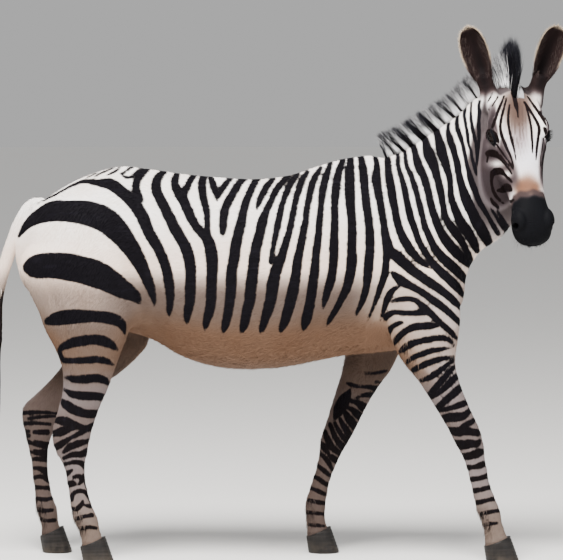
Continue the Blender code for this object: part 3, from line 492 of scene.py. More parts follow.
def ear_frame(side):
    """The ear's frame: Z along the ear, -Y out of its open front. Side is left or right."""
    sign = 1 if side == "left" else -1
    foot = head_frame() @ Vector((EAR_FOOT.x, EAR_FOOT.y * sign, EAR_FOOT.z))
    up = EAR_AIMS[side].normalized()
    front = Vector((math.sin(math.radians(12 * sign)), -math.cos(math.radians(12 * sign)), 0.0))
    front = (front - up * front.dot(up)).normalized()
    across = up.cross(front)
    return Matrix.Translation(foot) @ Matrix((across, -front, up)).transposed().to_4x4()


def add_head_forms(bm):
    frame = head_frame()
    rings = [
        [frame @ Vector((x, side, height)) for x, side, height in ring]
        for ring in trunk_rings(through(SKULL, 60), 40)
    ]
    add_tube(bm, rings)
    for middle, sizes in HEAD_LUMPS:
        for side in (1, -1):
            add_lump(bm, frame, Vector((middle[0], middle[1] * side, middle[2])), sizes)
    for side in ("left", "right"):
        eye = eye_frame(1 if side == "left" else -1)
        add_lump(bm, eye, Vector((0.0, 0.0, 0.0)), (EYE_RADIUS + 1.3 * LID, EYE_RADIUS + LID, EYE_RADIUS + LID))
        ear = ear_frame(side)
        sizes = [(-0.090, 0.012, 0.012), (-0.060, 0.036, 0.034), (-0.030, 0.038, 0.036), (-0.002, 0.031, 0.030)]
        sizes += [(EAR_ROOT_HEIGHT, EAR[0][1], EAR[0][2]), (EAR_ROOT_HEIGHT + 0.03, EAR[0][1], EAR[0][2])]
        add_tube(
            bm,
            [
                [ear @ Vector((w * math.cos(a), d * math.sin(a), h)) for a in angles(20)]
                for h, w, d in through(sizes, 10)
            ],
        )


def add_body_forms(bm):
    add_tube(bm, trunk_rings(through(TRUNK, 90), 56))
    add_tube(bm, neck_rings(through(NECK, 40), 48))
    for rows in LEGS.values():
        add_tube(bm, leg_rings(through(rows, 90), 32))
    still = Matrix.Identity(4)
    for middle, sizes in BODY_LUMPS:
        for side in (1, -1):
            add_lump(bm, still, Vector((middle[0], middle[1] * side, middle[2])), sizes)


# Muscles that round the body's outline, mirrored: middle, then half sizes.
BODY_LUMPS = (
    ((0.330, 0.100, 1.000), (0.140, 0.076, 0.210)),
    ((0.500, 0.075, 0.850), (0.070, 0.065, 0.100)),
    ((-0.640, 0.124, 1.000), (0.170, 0.102, 0.170)),
    ((-0.520, 0.134, 0.880), (0.130, 0.085, 0.140)),
    ((-0.775, 0.080, 0.980), (0.050, 0.070, 0.120)),
)


def baked(thing):
    """The object's mesh with its modifiers applied."""
    graph = bpy.context.evaluated_depsgraph_get()
    mesh = bpy.data.meshes.new_from_object(thing.evaluated_get(graph))
    mesh.name = thing.name
    return mesh


def helper(name, mesh):
    thing = bpy.data.objects.new(name, mesh)
    bpy.context.scene.collection.objects.link(thing)
    thing.hide_render = True
    thing.display_type = "WIRE"
    return thing


def remove(*things):
    for thing in things:
        bpy.data.objects.remove(thing, do_unlink=True)


def fused(mesh, grid):
    """One skin round all the forms of a mesh, on the first grid that gives a sound surface."""
    for size in (grid, grid * 0.97, grid * 1.03, grid * 0.94):
        thing = helper("fusing", mesh)
        modifier = thing.modifiers.new("fuse", "REMESH")
        modifier.mode, modifier.voxel_size = "VOXEL", size
        made = baked(thing)
        remove(thing)
        bm = bmesh.new()
        bm.from_mesh(made)
        sound = all(len(edge.link_faces) == 2 for edge in bm.edges)
        bm.free()
        if sound:
            break
    return made


def combined(mesh, cutter, operation):
    """The mesh joined with or cut by the cutter's mesh."""
    thing, tool = helper("cutting", mesh), helper("cutter", cutter)
    modifier = thing.modifiers.new("cut", "BOOLEAN")
    modifier.operation, modifier.solver, modifier.object = operation, "MANIFOLD", tool
    made = baked(thing)
    remove(thing, tool)
    return largest(made)


def largest(mesh):
    """Keeps only the mesh's largest closed surface."""
    bm = bmesh.new()
    bm.from_mesh(mesh)
    left, groups = set(bm.verts), []
    while left:
        group, edge = set(), [left.pop()]
        while edge:
            vert = edge.pop()
            group.add(vert)
            for link in vert.link_edges:
                other = link.other_vert(vert)
                if other in left:
                    left.discard(other)
                    edge.append(other)
        groups.append(group)
    keep = max(groups, key=len)
    bmesh.ops.delete(bm, geom=[v for v in bm.verts if v not in keep], context="VERTS")
    bm.to_mesh(mesh)
    bm.free()
    return mesh


def nostril_mesh(side):
    """The hollow of a nostril: a bent, tapering form that runs in, up and back."""
    frame = head_frame()
    rows = (
        (0.500, 0.088, -0.064, 0.0095),
        (0.479, 0.069, -0.056, 0.0105),
        (0.462, 0.055, -0.052, 0.0090),
        (0.444, 0.044, -0.054, 0.0050),
    )
    rings = []
    for along, out, height, radius in through(rows, 8):
        ring = []
        for a in angles(12):
            wide, tall = radius * math.cos(a), 1.6 * radius * math.sin(a)
            place = (along + 0.65 * wide + 0.35 * tall, (out - 0.76 * wide) * side, height + tall)
            ring.append(frame @ Vector(place))
        rings.append(ring)
    return tube_mesh("nostril", rings)


def mouth_mesh():
    """A thin bent wedge that parts the lips, from one corner of the mouth round the front to the other."""
    frame, rings = head_frame(), []
    for k in range(25):
        turn = math.radians(-90 + 180 * k / 24)
        along = 0.415 + 0.104 * max(0.0, math.cos(turn)) ** 0.8
        side = 0.062 * math.sin(turn)
        height = -0.104 + 0.010 * math.cos(turn)
        out = Vector((math.cos(turn), math.sin(turn), 0.0))
        middle = Vector((along, side, height))
        opened = 0.0016 + 0.0006 * math.cos(turn)
        corners = ((-0.016, -0.3), (0.016, -1.0), (0.016, 1.0), (-0.016, 0.3))
        rings.append([frame @ (middle + out * reach + Vector((0, 0, lift * opened))) for reach, lift in corners])
    return tube_mesh("mouth", rings)


# The markings, drawn from the animal's right side: each stripe is a row of (across, down, width)
# in drawing units, 312 to the metre, with the ground at 559 and the model's X = 0 at 282.
UNITS = 312.0
FLANK_STRIPES = (
    # croup and haunch
    ((36, 204, 1.2), (44, 200.5, 1.7), (54, 195.5, 2.1), (64, 190, 2.4), (74, 185, 2.8), (83, 181.5, 3.8),
     (100, 183, 8), (110, 184, 12), (120, 190.5, 12), (130, 199, 12.5), (140, 212, 13), (150, 234, 12),
     (160, 251, 11), (166, 267, 10.5), (169.5, 284, 10.5), (170.5, 300, 8), (169.5, 312, 5), (169, 320, 1)),
    ((19, 236, 3), (28, 224, 9), (40, 216, 15), (55, 211, 21), (70, 211.5, 22), (85, 213, 24.5),
     (100, 217, 26), (112, 225, 25), (124, 238, 21), (135, 254, 17), (145, 273, 13), (150, 286, 10),
     (154, 300, 5.5), (153, 312, 1)),
    ((29, 267.5, 13), (35, 266.5, 22), (50, 265.5, 25.5), (70, 267, 27.5), (85, 270.5, 27.5),
     (100, 275.5, 27), (112, 282, 23.5), (125, 290, 18), (135, 296, 12), (141, 304, 3)),
    ((48, 321, 7), (55, 319, 12), (70, 316.5, 14.5), (85, 316, 12.5), (100, 316.5, 11), (112, 318.5, 11.5),
     (121, 323, 9), (125, 334, 1)),
    ((60, 356, 3), (59.5, 350, 4), (68, 344, 8.5), (80, 341, 10), (92, 339.5, 9.5), (104, 341, 10),
     (112, 345, 7), (118, 350.5, 1)),
    ((60, 352, 3), (63, 359.5, 4.5), (71, 360.5, 5.5), (85, 360, 6.5), (100, 359.5, 6.5), (108, 361.5, 5),
     (114, 365, 1)),
    ((65, 376.5, 2), (72, 378.5, 6), (85, 379, 8), (98, 378, 7.5), (105, 380.5, 6.5), (109, 384.5, 1.5)),
    ((64, 389, 2), (71, 393.5, 6), (81, 395.5, 8), (95, 396, 7.5), (103, 397, 6.5), (107, 397.5, 2.5)),
    ((62, 400, 3), (66, 404.5, 8), (75, 410, 9), (86, 413.5, 8), (95, 413.5, 7), (101, 410.5, 3)),
    ((55, 420, 4), (64, 421, 9), (74, 424.5, 7), (86, 427.5, 4.5), (95, 424, 5), (99, 419, 2)),
    ((51, 434, 4), (60, 432, 8), (70, 428.5, 6), (79, 427, 3)),
    ((54, 448, 6), (61, 444, 6), (68, 439.5, 4), (77, 434.5, 4), (87, 430, 4), (96, 427, 2.5)),
    ((64, 452, 3), (69, 447.5, 6), (77, 444, 6.5), (86, 441.5, 4.5), (92, 439.5, 2.5)),
    ((64, 458, 3), (73, 454.5, 5), (82, 454, 6), (88, 451, 7), (92, 449, 3)),
    ((61, 465, 3), (67, 463.5, 3), (75, 462, 4), (82, 463.5, 5), (87, 468, 6), (88, 473, 3)),
    ((65, 475, 4), (69, 472, 4), (72, 470, 1.5)),
    ((67, 485, 5), (72, 483.5, 6), (76, 484, 2)),
    ((74, 477, 3), (79, 476, 4), (82, 480, 4), (79, 484, 2)),
    ((84, 476, 4), (86, 481, 4), (87.5, 488, 2.5)),
    ((72, 500, 3), (73, 494, 4), (78, 491, 3.5), (84, 491.5, 3.5), (89, 496, 4.5), (90, 501, 2)),
    ((71, 508, 3), (76, 509, 4), (81, 505, 4), (83, 501, 2)),
    ((84, 505, 2), (90, 506, 4)),
    ((75, 519, 3), (80, 517.5, 4), (86, 516, 3.5), (92, 515, 3.5)),
    ((74, 530, 2), (82, 528, 3.5), (90, 527, 3), (96, 528, 2)),
    # short bars over the croup
    ((87, 178, 1), (93, 175, 1.5), (98, 172.5, 1)),
    ((95, 176.5, 1.4), (101, 173.5, 2.2), (107, 171, 2.2), (114, 168, 1.6)),
    ((108, 175, 1.6), (112, 173, 2.6), (117, 170.5, 2.6), (121, 167, 1.8)),
    ((121, 173.5, 2.4), (123.5, 175.6, 2.8), (126, 177.6, 3), (130, 177.4, 3), (136, 173.5, 3),
     (141, 169.5, 2)),
    ((121.5, 173.8, 2.4), (124, 173, 2.8), (128, 170, 2.8), (134, 166.8, 1.8)),
    # flank, from the back of the ribs forwards
    ((151, 167, 3), (144, 172, 6), (138, 179, 7), (136, 188, 7.5), (140, 200, 8)),
    ((166, 171, 3), (158, 179, 8), (156.5, 190, 9.5), (161, 200, 10), (166, 210, 11), (171, 220, 11.5),
     (176, 230, 12), (182, 240, 12), (187, 250, 12.5), (190, 262, 12), (191, 275, 11.5), (190.5, 290, 11.5),
     (190, 302, 10), (188, 312, 8), (187, 321, 5), (186.5, 328, 1)),
    ((179, 172, 3), (175, 181, 7), (177, 190, 8), (183, 200, 10), (188, 210, 10.5), (192.5, 220, 10),
     (199, 230, 9), (207, 238, 11), (211, 250, 13), (212.5, 262, 12.5), (212, 278, 11.5), (211.5, 294, 11),
     (210, 310, 9.5), (207, 320, 7.5), (205, 330, 4), (204.5, 337, 1)),
    ((196, 174, 3), (191, 180, 5), (187, 188, 6), (184, 196, 6)),
    ((206, 173, 4), (202.5, 181, 7), (202.5, 190, 7.5), (204.5, 202, 7.5), (207, 212, 7.5),
     (207.5, 224, 6.5), (208, 236, 7)),
    ((211, 177, 4), (213.5, 185, 6), (216, 193, 5.5), (217.5, 201, 1.5)),
    ((232, 178, 3), (226, 184, 5), (221, 192, 5), (218, 199, 2)),
    ((248, 177, 3), (240, 183, 6), (235, 191, 7.5), (229, 201, 8.5), (225, 211, 9.5), (223.5, 222, 9),
     (223, 231, 7), (222, 238.5, 1)),
    ((261, 176, 3), (255, 183, 6), (251, 191, 7), (247, 200, 8), (244, 210, 9), (241.5, 222, 10.5),
     (238.5, 234, 11), (236, 246, 11.5), (234.5, 258, 11.5), (232, 272, 11.5), (231.3, 288, 11.5),
     (230, 302, 10), (228, 314, 9), (225.5, 325, 7), (223, 334, 4), (221.5, 341, 1)),
    ((274, 179, 3), (269, 184, 5), (264, 192, 6.5), (260, 200, 6), (256.5, 210, 2)),
    ((289, 176, 3), (283, 182, 5), (276.5, 190, 6), (272, 200, 6.5), (267, 210, 7.5), (263, 220, 10.5),
     (260.5, 232, 10.5), (257.5, 243, 11), (255, 256, 11.5), (253.5, 270, 12), (251.2, 286, 12),
     (250, 300, 11.5), (247, 312, 10), (245, 322, 8.5), (242.5, 331, 5.5), (240.5, 341, 1)),
    ((298, 174, 3), (293, 180, 5), (288, 190, 6), (284, 200, 6), (281, 210, 7), (279, 220, 7.5),
     (277, 230, 7.5), (274.5, 242, 6), (272.5, 252, 5.5), (271.5, 262, 6)),
    ((308, 172, 3), (303, 179, 5.5), (299, 190, 6), (296, 200, 6.5), (294, 210, 7), (292, 220, 7.5),
     (290, 230, 7.5), (287, 240, 8), (284, 250, 8.5), (280.5, 260, 10), (276.5, 270, 12),
     (273.5, 282, 12.5), (271.5, 296, 12), (268.5, 309, 10.5), (265, 320, 8), (262, 330, 6), (258.5, 341, 1)),
    ((321, 168, 3), (315, 178, 5.5), (311, 190, 6.5), (309, 200, 6.5), (307, 210, 7), (306, 220, 7.5),
     (304, 230, 8), (302, 240, 9), (300, 250, 8.5), (298, 260, 10), (296.5, 272, 10.5), (294.5, 284, 11.5),
     (291.5, 298, 11.5), (288, 311, 10), (285, 321, 8.5), (281.5, 331, 5.5), (279, 339, 1)),
    ((331, 163, 3), (326.5, 176, 6), (323, 190, 7.5), (321.5, 204, 6.5), (320, 218, 7.5), (319, 232, 7.5),
     (317.5, 245, 8.5), (316, 258, 9), (315, 270, 10), (313, 284, 10), (311, 298, 10), (308.5, 311, 10),
     (306, 322, 9), (304, 330, 5), (303, 337, 1)),
    ((343, 160, 4), (338.5, 174, 6.5), (336, 190, 8), (335, 204, 8), (335, 220, 8), (334.5, 236, 9),
     (334, 250, 10), (333.5, 264, 9.5), (331.5, 278, 9.5), (328, 290, 8), (325, 301, 6), (323, 309, 1)),
    ((351, 157, 5), (350, 174, 8.5), (350, 190, 10), (350.5, 204, 10), (352, 220, 9.5), (352.3, 236, 10),
     (352, 250, 10), (352, 262, 11), (350, 276, 10.5), (346.5, 289, 9), (341, 300, 7), (336.5, 309, 6),
     (330.5, 319, 5), (327, 327, 4.5), (324, 336, 1)),
    ((361, 155, 5), (363.5, 172, 7.5), (365, 190, 8), (366.5, 203, 9), (368.5, 218, 9), (370, 234, 9.5),
     (370, 250, 10), (369, 262, 10), (368, 274, 9.5), (366, 289, 7.5), (362.5, 301, 6), (358, 311, 3.5),
     (355, 318, 1)),
    ((375, 154, 3), (377, 166, 5), (376.5, 178, 8.5), (378, 190, 8), (380, 200, 8), (382, 212, 8),
     (384, 224, 7.5), (386, 238, 9.5), (388, 248, 10.5), (386, 262, 7), (385, 274, 7.5), (381, 286, 6.5),
     (378, 295, 5.5), (375, 303, 4), (370, 315, 2), (366, 324, 1)),
    # neck, from the withers to the head
    ((387, 147, 3), (388, 162, 5.5), (389, 174, 7), (391, 186, 8), (393.5, 202, 8.5), (396, 214, 8),
     (398, 224, 8), (401, 233, 8.5), (405, 241, 9), (410, 249, 8.5), (418, 258.5, 7), (426, 265, 5),
     (431, 268, 1)),
    ((390, 250, 8), (397, 256, 11), (404, 262.5, 11), (413, 270.5, 10), (422, 277, 9.5), (431, 283, 9),
     (439, 288.5, 8.5), (448, 295.5, 7.5), (456, 303, 6.5), (461, 308.5, 3)),
    ((395, 141, 3), (398, 153, 3.5), (398.5, 166, 4), (402, 178, 5.5), (405, 190, 7), (407.5, 204, 7),
     (411, 218, 8), (415, 230, 7), (419, 241, 6.5), (424, 250, 6.5), (430, 259, 6.5), (438, 269, 8),
     (448, 278, 9), (456, 286, 8.5), (463, 295, 4)),
    ((402, 140, 4), (405, 152, 4), (407, 166, 4.5), (411, 175, 6), (416, 190, 6.5), (419, 202, 6.5),
     (422, 214, 6.5), (425, 226, 6.5), (430, 238, 7), (435, 248, 8), (443, 258, 9.5), (453, 267, 10),
     (462, 276, 8), (468, 284, 3)),
    ((411, 137, 6), (414.5, 150, 6), (419, 166, 9), (424.5, 178, 8.5), (428.5, 192, 8), (431.5, 206, 8),
     (435, 217, 8.5), (440, 230, 9), (446, 240, 10), (455, 251, 10), (466, 261, 8.5), (471, 267, 4)),
    ((421, 128, 6), (426, 142, 7), (429, 154, 11), (433.5, 165, 10), (437.5, 178, 8), (440.5, 191, 8),
     (443, 205, 6.5), (446, 218, 8), (453, 229, 9), (459.5, 238, 7.5), (465, 247, 6), (470, 256, 4),
     (473, 262, 2)),
    ((433, 121, 8), (438, 136, 7), (441.5, 150, 10), (445, 162, 8.5), (449, 174, 7), (450.5, 186, 6),
     (451.5, 198, 7), (456, 211, 8.5), (461, 222, 10.5), (467, 231, 10.5), (473, 241, 9.5), (477, 250, 6)),
    ((441, 107, 4.5), (445, 113, 3.6), (449.3, 118.5, 2.3), (448.6, 124, 2.6), (448.2, 130, 3.7),
     (449.3, 136, 6), (451, 142, 6.8), (453.3, 148, 6.2), (454.8, 154, 5.6), (457, 162, 6.4),
     (458.8, 173, 6.6), (461.5, 185, 7.8), (466, 199, 11), (471, 210, 11), (477, 222, 12), (483, 232, 11.5),
     (488, 241, 9), (491, 248, 5)),
    ((453, 100, 4), (456.5, 107, 3), (458.4, 112.5, 1.5), (457.3, 119, 2.6), (457.2, 125, 4),
     (458, 130, 4.2), (460, 136, 4), (462, 142, 3.3), (463.5, 148, 3.3), (465.2, 156, 3.5),
     (466.4, 163, 3.7), (468.2, 170, 4.2), (470, 177, 6), (472.3, 184, 6.6), (475.3, 190, 7),
     (480, 202, 6.5), (484.2, 210, 5.4), (488.5, 217, 4.6), (492.5, 224, 4.6), (498, 233, 5)),
    ((461, 92, 4), (465, 99, 3), (465.8, 105, 1.5), (464.6, 112, 2.2), (464.6, 117, 2.3), (465.1, 121, 2.2),
     (466.1, 127, 2.3), (467.3, 133, 2.4), (468, 139, 2.2), (469, 145, 1.9), (470.5, 150, 2),
     (471.6, 156, 2.3), (473.5, 163, 3), (475.8, 170, 4.4), (478.6, 177, 3.6), (481, 184, 3),
     (483.2, 190, 3), (486, 197, 3), (489, 203.5, 3), (491.8, 209.5, 3), (495.5, 215.5, 3.2), (499, 221, 4),
     (507, 233, 3)),
    ((472, 99, 1.5), (471, 105, 1.2), (470.8, 112, 1.5), (471, 118, 2.2), (471.8, 124, 2.4),
     (472.8, 130, 2.8), (474, 136, 2.5), (475.6, 141, 2.3), (476.9, 147, 2.7), (477.6, 154, 3.6),
     (478.2, 162, 3.8), (479, 169, 2.4), (480, 175, 1)),
    ((497.5, 211, 2), (503, 220.5, 4.5), (510, 231, 4), (516, 240, 3)),
    ((479.5, 101, 1.8), (479, 107, 2.4), (479.5, 112, 3), (478.7, 118, 2.6), (478.6, 125, 2.4),
     (478.9, 131, 2.3), (479, 137, 2.5), (479.2, 143, 2.5), (479, 150, 2.8), (479.3, 160, 2.2), (480, 170, 1)),
    # shoulder
    ((392, 272, 3), (397, 277, 8), (404, 282, 9.5), (412, 286.5, 7), (420, 291, 6.5), (428, 296.5, 7),
     (436, 302, 7.5), (444, 308, 7), (452, 315, 6), (459, 322.5, 4.5), (462, 327, 2)),
    ((401, 286, 2), (394, 289, 5), (388.5, 297, 7), (384.5, 308, 4.5), (381, 320, 1.5)),
    ((393, 301, 3), (400, 299.5, 4.5), (408, 298.5, 5), (416, 300.5, 5), (424, 307, 6.5), (432, 314.5, 6.5),
     (440, 322, 5.5), (447, 328.5, 5.5), (453, 334, 5), (457, 339, 2)),
    ((384, 321, 3), (388, 315, 6), (396, 312, 4.5), (404, 313, 5), (412, 313, 5), (420, 312.5, 6),
     (428, 312, 6)),
    ((384, 341, 2.5), (388, 332, 6), (393, 326, 4.5), (399, 323, 4), (403, 322, 1.5)),
    ((391, 347, 2.5), (396, 340, 6), (401, 334.5, 6), (407, 330, 6), (414, 327, 7), (422, 326, 7),
     (430, 325.5, 7), (438, 326, 2)),
    ((399, 352, 2.5), (404, 348, 6), (412, 343.5, 7), (420, 341, 6), (428, 339.5, 6), (436, 338, 5.5),
     (444, 338, 5.5), (450, 340.5, 4), (454, 345, 1.5)),
    ((405, 364, 2), (411, 358.5, 4.5), (417, 355.5, 5), (424, 353, 5.5), (431, 350.5, 5), (438, 349.5, 4.5),
     (446, 348, 3), (453, 347, 1.5)),
    ((409, 373, 2), (414, 369.5, 4.5), (420, 366.5, 5.5), (428, 363, 6), (436, 360, 5.5), (444, 358, 4.5),
     (454, 356.5, 2)),
    ((419, 381, 2), (424, 379.5, 4), (429, 377.5, 5.5), (435, 374, 6), (441, 369.5, 5), (447, 364.8, 3.8),
     (454, 359.8, 2)),
    # near foreleg
    ((427, 397, 3), (431, 392.5, 5.5), (437, 386, 6), (443, 378.5, 5.5), (449, 372, 5), (455, 366, 3)),
    ((428, 398, 3), (434, 396, 4), (440, 391.8, 5), (447, 385.5, 6), (453, 379.5, 6.5), (458, 373.5, 4),
     (460, 369, 2)),
    ((434, 410, 4), (440, 405.5, 6), (446, 400, 6.5), (452, 395, 7), (458, 389.5, 7.5), (463, 384, 5),
     (464, 380, 2)),
    ((437, 410.5, 3), (445, 409.3, 4), (452, 407.5, 4.5), (459, 405, 5.5), (466, 402, 5), (468, 398, 2)),
    ((438, 419.5, 4), (444, 418.5, 7.5), (450, 417.5, 8.5), (457, 417, 8.5), (464, 415.5, 7), (468, 412, 5),
     (471, 407, 2)),
    ((445, 429, 4), (452, 430.5, 7), (458, 431.5, 9), (464, 430.5, 9), (470, 431.5, 7), (477, 432.5, 7)),
    ((462, 427, 4), (467, 424, 5), (472, 421.5, 5), (475, 418, 2)),
    ((450, 442, 4), (458, 444.5, 9), (465, 444.5, 8.5), (471, 443.5, 8), (477, 443.5, 6), (480, 440, 2)),
    ((457, 455, 3), (464, 456.5, 6.5), (471, 455.5, 7), (478, 453, 8), (483, 451, 4)),
    ((461, 468, 3), (467, 467.5, 5), (474, 467, 4), (482, 464.5, 6), (487, 462, 3)),
    ((466, 480, 3), (473, 479, 5), (480, 478, 4), (489, 475, 5)),
    ((468, 491, 3), (475, 490.5, 4.5), (483, 489, 4), (492, 486.5, 4)),
    ((472, 503, 3), (480, 502, 4.5), (488, 500, 3.5), (497, 498, 4)),
    ((476, 515, 3), (484, 513, 3.5), (492, 511.5, 3.5), (501, 510, 3)),
    ((480, 526, 2), (488, 524, 3.5), (497, 523, 2.5)),
)

# The far side of the neck behind ear and jaw.
HIDDEN_NECK_STRIPES = (
    ((485, 88, 3), (481.5, 105, 5), (480, 130, 5.5), (480.5, 155, 6), (487, 185, 6.5), (494, 206, 6),
     (502, 222, 3)),
    ((493.5, 87, 3), (490.5, 104, 4.5), (489.5, 128, 5), (491, 152, 5.5), (497, 180, 6), (504, 200, 5),
     (511, 213, 3)),
    ((502, 88, 2.5), (499.5, 104, 4.5), (499, 126, 5), (501, 150, 5), (507, 174, 5), (513, 191, 4),
     (519, 202, 2)),
    ((510, 90, 2.5), (508.5, 105, 4), (508.5, 126, 4.5), (511, 148, 4.5), (516, 167, 4), (522, 181, 2)),
    ((518, 92, 2), (517, 106, 4), (517.5, 126, 4.5), (520.5, 146, 4.5), (526, 166, 3.5), (531, 178, 2)),
    ((525.5, 96, 2), (525, 110, 3.5), (526, 128, 4), (529.5, 146, 3.5), (534, 160, 2)),
)

# The inner sides of the legs, drawn where the left legs stand.
INNER_STRIPES = (
    ((17, 408, 5), (22, 401, 7), (29, 395, 6), (37, 389, 3)),
    ((16, 413.5, 3), (30, 412.5, 3.5), (48, 412.5, 2.5), (60, 414, 2)),
    ((28, 418.5, 2), (40, 417, 2.5), (58, 416, 2)),
    ((18, 424, 4), (32, 423, 3), (50, 424, 2.5)),
    ((20, 431, 3), (29, 431, 2)), ((35, 432, 4), (47, 432, 5)),
    ((20, 436.5, 2), (29, 435.5, 3)),
    ((20, 443.5, 3), (28, 442, 4), (34, 444, 2)), ((36, 443, 6), (48, 446, 7)),
    ((23, 453, 4), (31, 452, 3)), ((35, 452, 5), (47, 453.5, 7)),
    ((26, 460, 2), (34, 459, 3), (48, 459.5, 5)),
    ((30, 467.5, 2), (40, 468.5, 4), (48, 472, 9)),
    ((32, 478, 3), (41, 476.5, 3), (49, 480, 5)),
    ((34, 487, 4), (42, 487.5, 3), (50, 488, 4)),
    ((36, 498, 3), (45, 499.5, 4), (52, 498, 3)),
    ((38, 509, 4), (45, 510.5, 4), (52, 510, 3)),
    ((40, 519, 3), (48, 520.5, 3), (55, 520, 3)),
    ((349, 391, 3), (346, 397, 9), (342, 404, 12), (338, 412, 9), (335, 418, 3)),
    ((364, 373, 2), (374, 373, 2.5), (384, 371.5, 3.5), (391, 371, 4), (396, 368, 2)),
    ((376, 381.5, 2), (383, 380, 5), (389, 377.5, 4)),
    ((347, 383, 2.5), (354, 385.5, 3.5), (362, 386.5, 3), (370, 387, 3.5), (377, 388.5, 5), (382, 387, 3)),
    ((356, 397.5, 2), (363, 395, 3.5), (371, 395, 5), (376, 395.5, 5)),
    ((350, 400.5, 3), (357, 402.5, 5), (364, 407, 8), (369, 407, 4)),
    ((347, 407, 2), (353, 410, 5), (358, 415, 7), (364, 420, 5)),
    ((344, 411, 3), (348, 417.5, 7), (353, 424, 8), (358, 430, 6)),
    ((340, 419, 3), (345, 428, 6), (350, 435.5, 6), (355, 440, 4)),
    ((335, 423, 3), (339, 431, 4), (344, 438, 5), (350, 443, 6)),
    ((330, 424, 3), (333, 432, 4), (337, 440, 5), (343, 447, 6), (347, 450, 3)),
    ((325, 431, 3), (328, 440, 6), (332, 447, 6), (338, 452, 5), (343, 456, 3)),
    ((321, 443, 3), (324, 447, 6), (328, 453, 3)),
    ((320, 453, 3), (325, 458, 4), (330, 465, 4), (332, 470, 2)),
    ((329, 455, 3), (334, 459, 6), (339, 462, 5)),
    ((316, 464, 2), (321, 468, 4), (327, 473, 4), (333, 478, 2)),
    ((313, 476, 3), (319, 479, 4), (326, 484, 4), (332, 486, 3)),
    ((311, 488, 3), (318, 491, 4), (325, 494, 3)),
    ((309, 500, 3), (317, 502, 4), (326, 503, 3)),
    ((307, 512, 3), (316, 513, 3), (325, 514, 3)),
    ((307, 524, 2), (315, 525, 3), (324, 526, 2)),
)

# The face, drawn as it is seen with the head turned to the side of the drawing.
FACE_STRIPES = (
    ((511, 72, 11), (513, 84, 8.5), (513.5, 92, 5.5), (515, 100, 4), (516.5, 107, 3.5), (517.5, 112, 1.2),
     (518, 117, 1)),
    ((504, 96, 1.5), (501, 104, 2), (498, 111, 2.4), (495.5, 119, 2.6), (492.5, 127, 2.2)),
    ((506.5, 98, 1.2), (504, 108, 1.8), (501.7, 117, 2.2), (500.3, 126, 2.4), (501.5, 135, 2.8),
     (504.5, 142.5, 3), (508, 151, 2.6), (511, 157, 1.8), (513.5, 167, 1)),
    ((509.5, 105, 1.2), (508.3, 114, 1.8), (508.3, 123, 2), (509.6, 131, 2.2), (511.8, 140, 2.4),
     (514, 149, 1.8), (516, 160, 0.8)),
    ((525.5, 104, 1.2), (528.3, 114, 1.8), (530.4, 123, 2), (531.7, 133, 2), (532.3, 143, 1.8),
     (532.5, 153, 0.8)),
    ((524.5, 102, 1.6), (529, 109, 2.4), (533.8, 116.5, 2.4), (537.5, 123, 2.6), (539.2, 129, 3),
     (538.6, 136, 2.8), (537.4, 144, 2.6), (536.6, 152, 2), (536, 160, 0.8)),
    ((527.5, 96, 1.6), (532, 103, 1.8), (537, 110, 2.4), (541.5, 116.5, 2.8), (545, 122.5, 2.4), (548, 127, 2)),
    ((480.5, 106, 1.2), (480, 113, 3), (479.5, 120, 2)), ((488.6, 109, 1.2), (488, 113, 1.4)),
    ((488, 117, 1), (487.6, 120.5, 2), (488, 123.5, 1.2)), ((480, 124, 2), (483, 123.5, 1.6)),
    ((486, 104, 0.8), (490, 98, 1.2), (494, 90, 1.2)), ((492, 106, 0.8), (496, 100, 1.2), (500, 93, 1.4)),
    ((494, 88.5, 1), (497, 85.5, 1.8), (501, 81, 1.4)),
    ((481.5, 130.2, 2), (484.5, 131.5, 5), (488, 133.2, 8), (492, 136, 10.5), (495.5, 139, 6.5),
     (498.5, 141.8, 1.5)),
    ((544, 128, 2), (548, 132, 7), (552, 135, 8), (546, 137, 3)),
    ((488, 153.5, 5), (491, 153, 6.5), (495, 154, 6), (499, 157.5, 2.4), (503, 162, 1.8), (508, 168, 1.5),
     (512, 174, 1)),
    ((494, 141, 1), (499, 148, 1.2), (504, 155, 1.4), (509, 162, 1.2), (513, 169, 0.8)),
    ((500, 155, 1), (504, 160, 1.2), (509, 166, 1)),
    ((493, 173, 5.5), (496, 171.5, 7), (500, 171, 6), (504, 174, 3.2), (508, 178, 2.4), (512, 182, 1.4)),
    ((492.3, 174, 4), (491.6, 182, 2.2), (493, 190, 2.4), (496, 196, 2.8), (500, 200.5, 2.2)),
    ((498, 190.5, 2.5), (502.5, 190, 5), (506.5, 187.5, 8), (510, 189.3, 4.5), (512, 190.8, 1)),
    ((502, 202.6, 1.6), (505, 204, 2.8), (509.5, 201.8, 3), (513.5, 199.8, 2)),
    ((490.8, 198.5, 1.5), (494, 203.8, 4), (498.5, 208, 4.8), (502, 211.2, 3.6), (504.5, 213, 1.5)),
    ((497, 218.5, 2), (500.5, 221.8, 5), (504.5, 221, 4.6), (508, 218.8, 3), (512, 217.5, 2)),
    ((487.8, 157, 1.4), (487, 162, 1)),
    ((545, 146, 2.4), (546, 151, 3.6), (546, 156, 2)), ((542.2, 158, 1.6), (541.6, 162, 2), (540.4, 167, 1)),
    ((545, 166, 1.6), (546, 170, 3.4), (545.5, 174, 2)), ((542.5, 184, 2), (543.5, 190, 2), (545, 196, 1.5)),
)


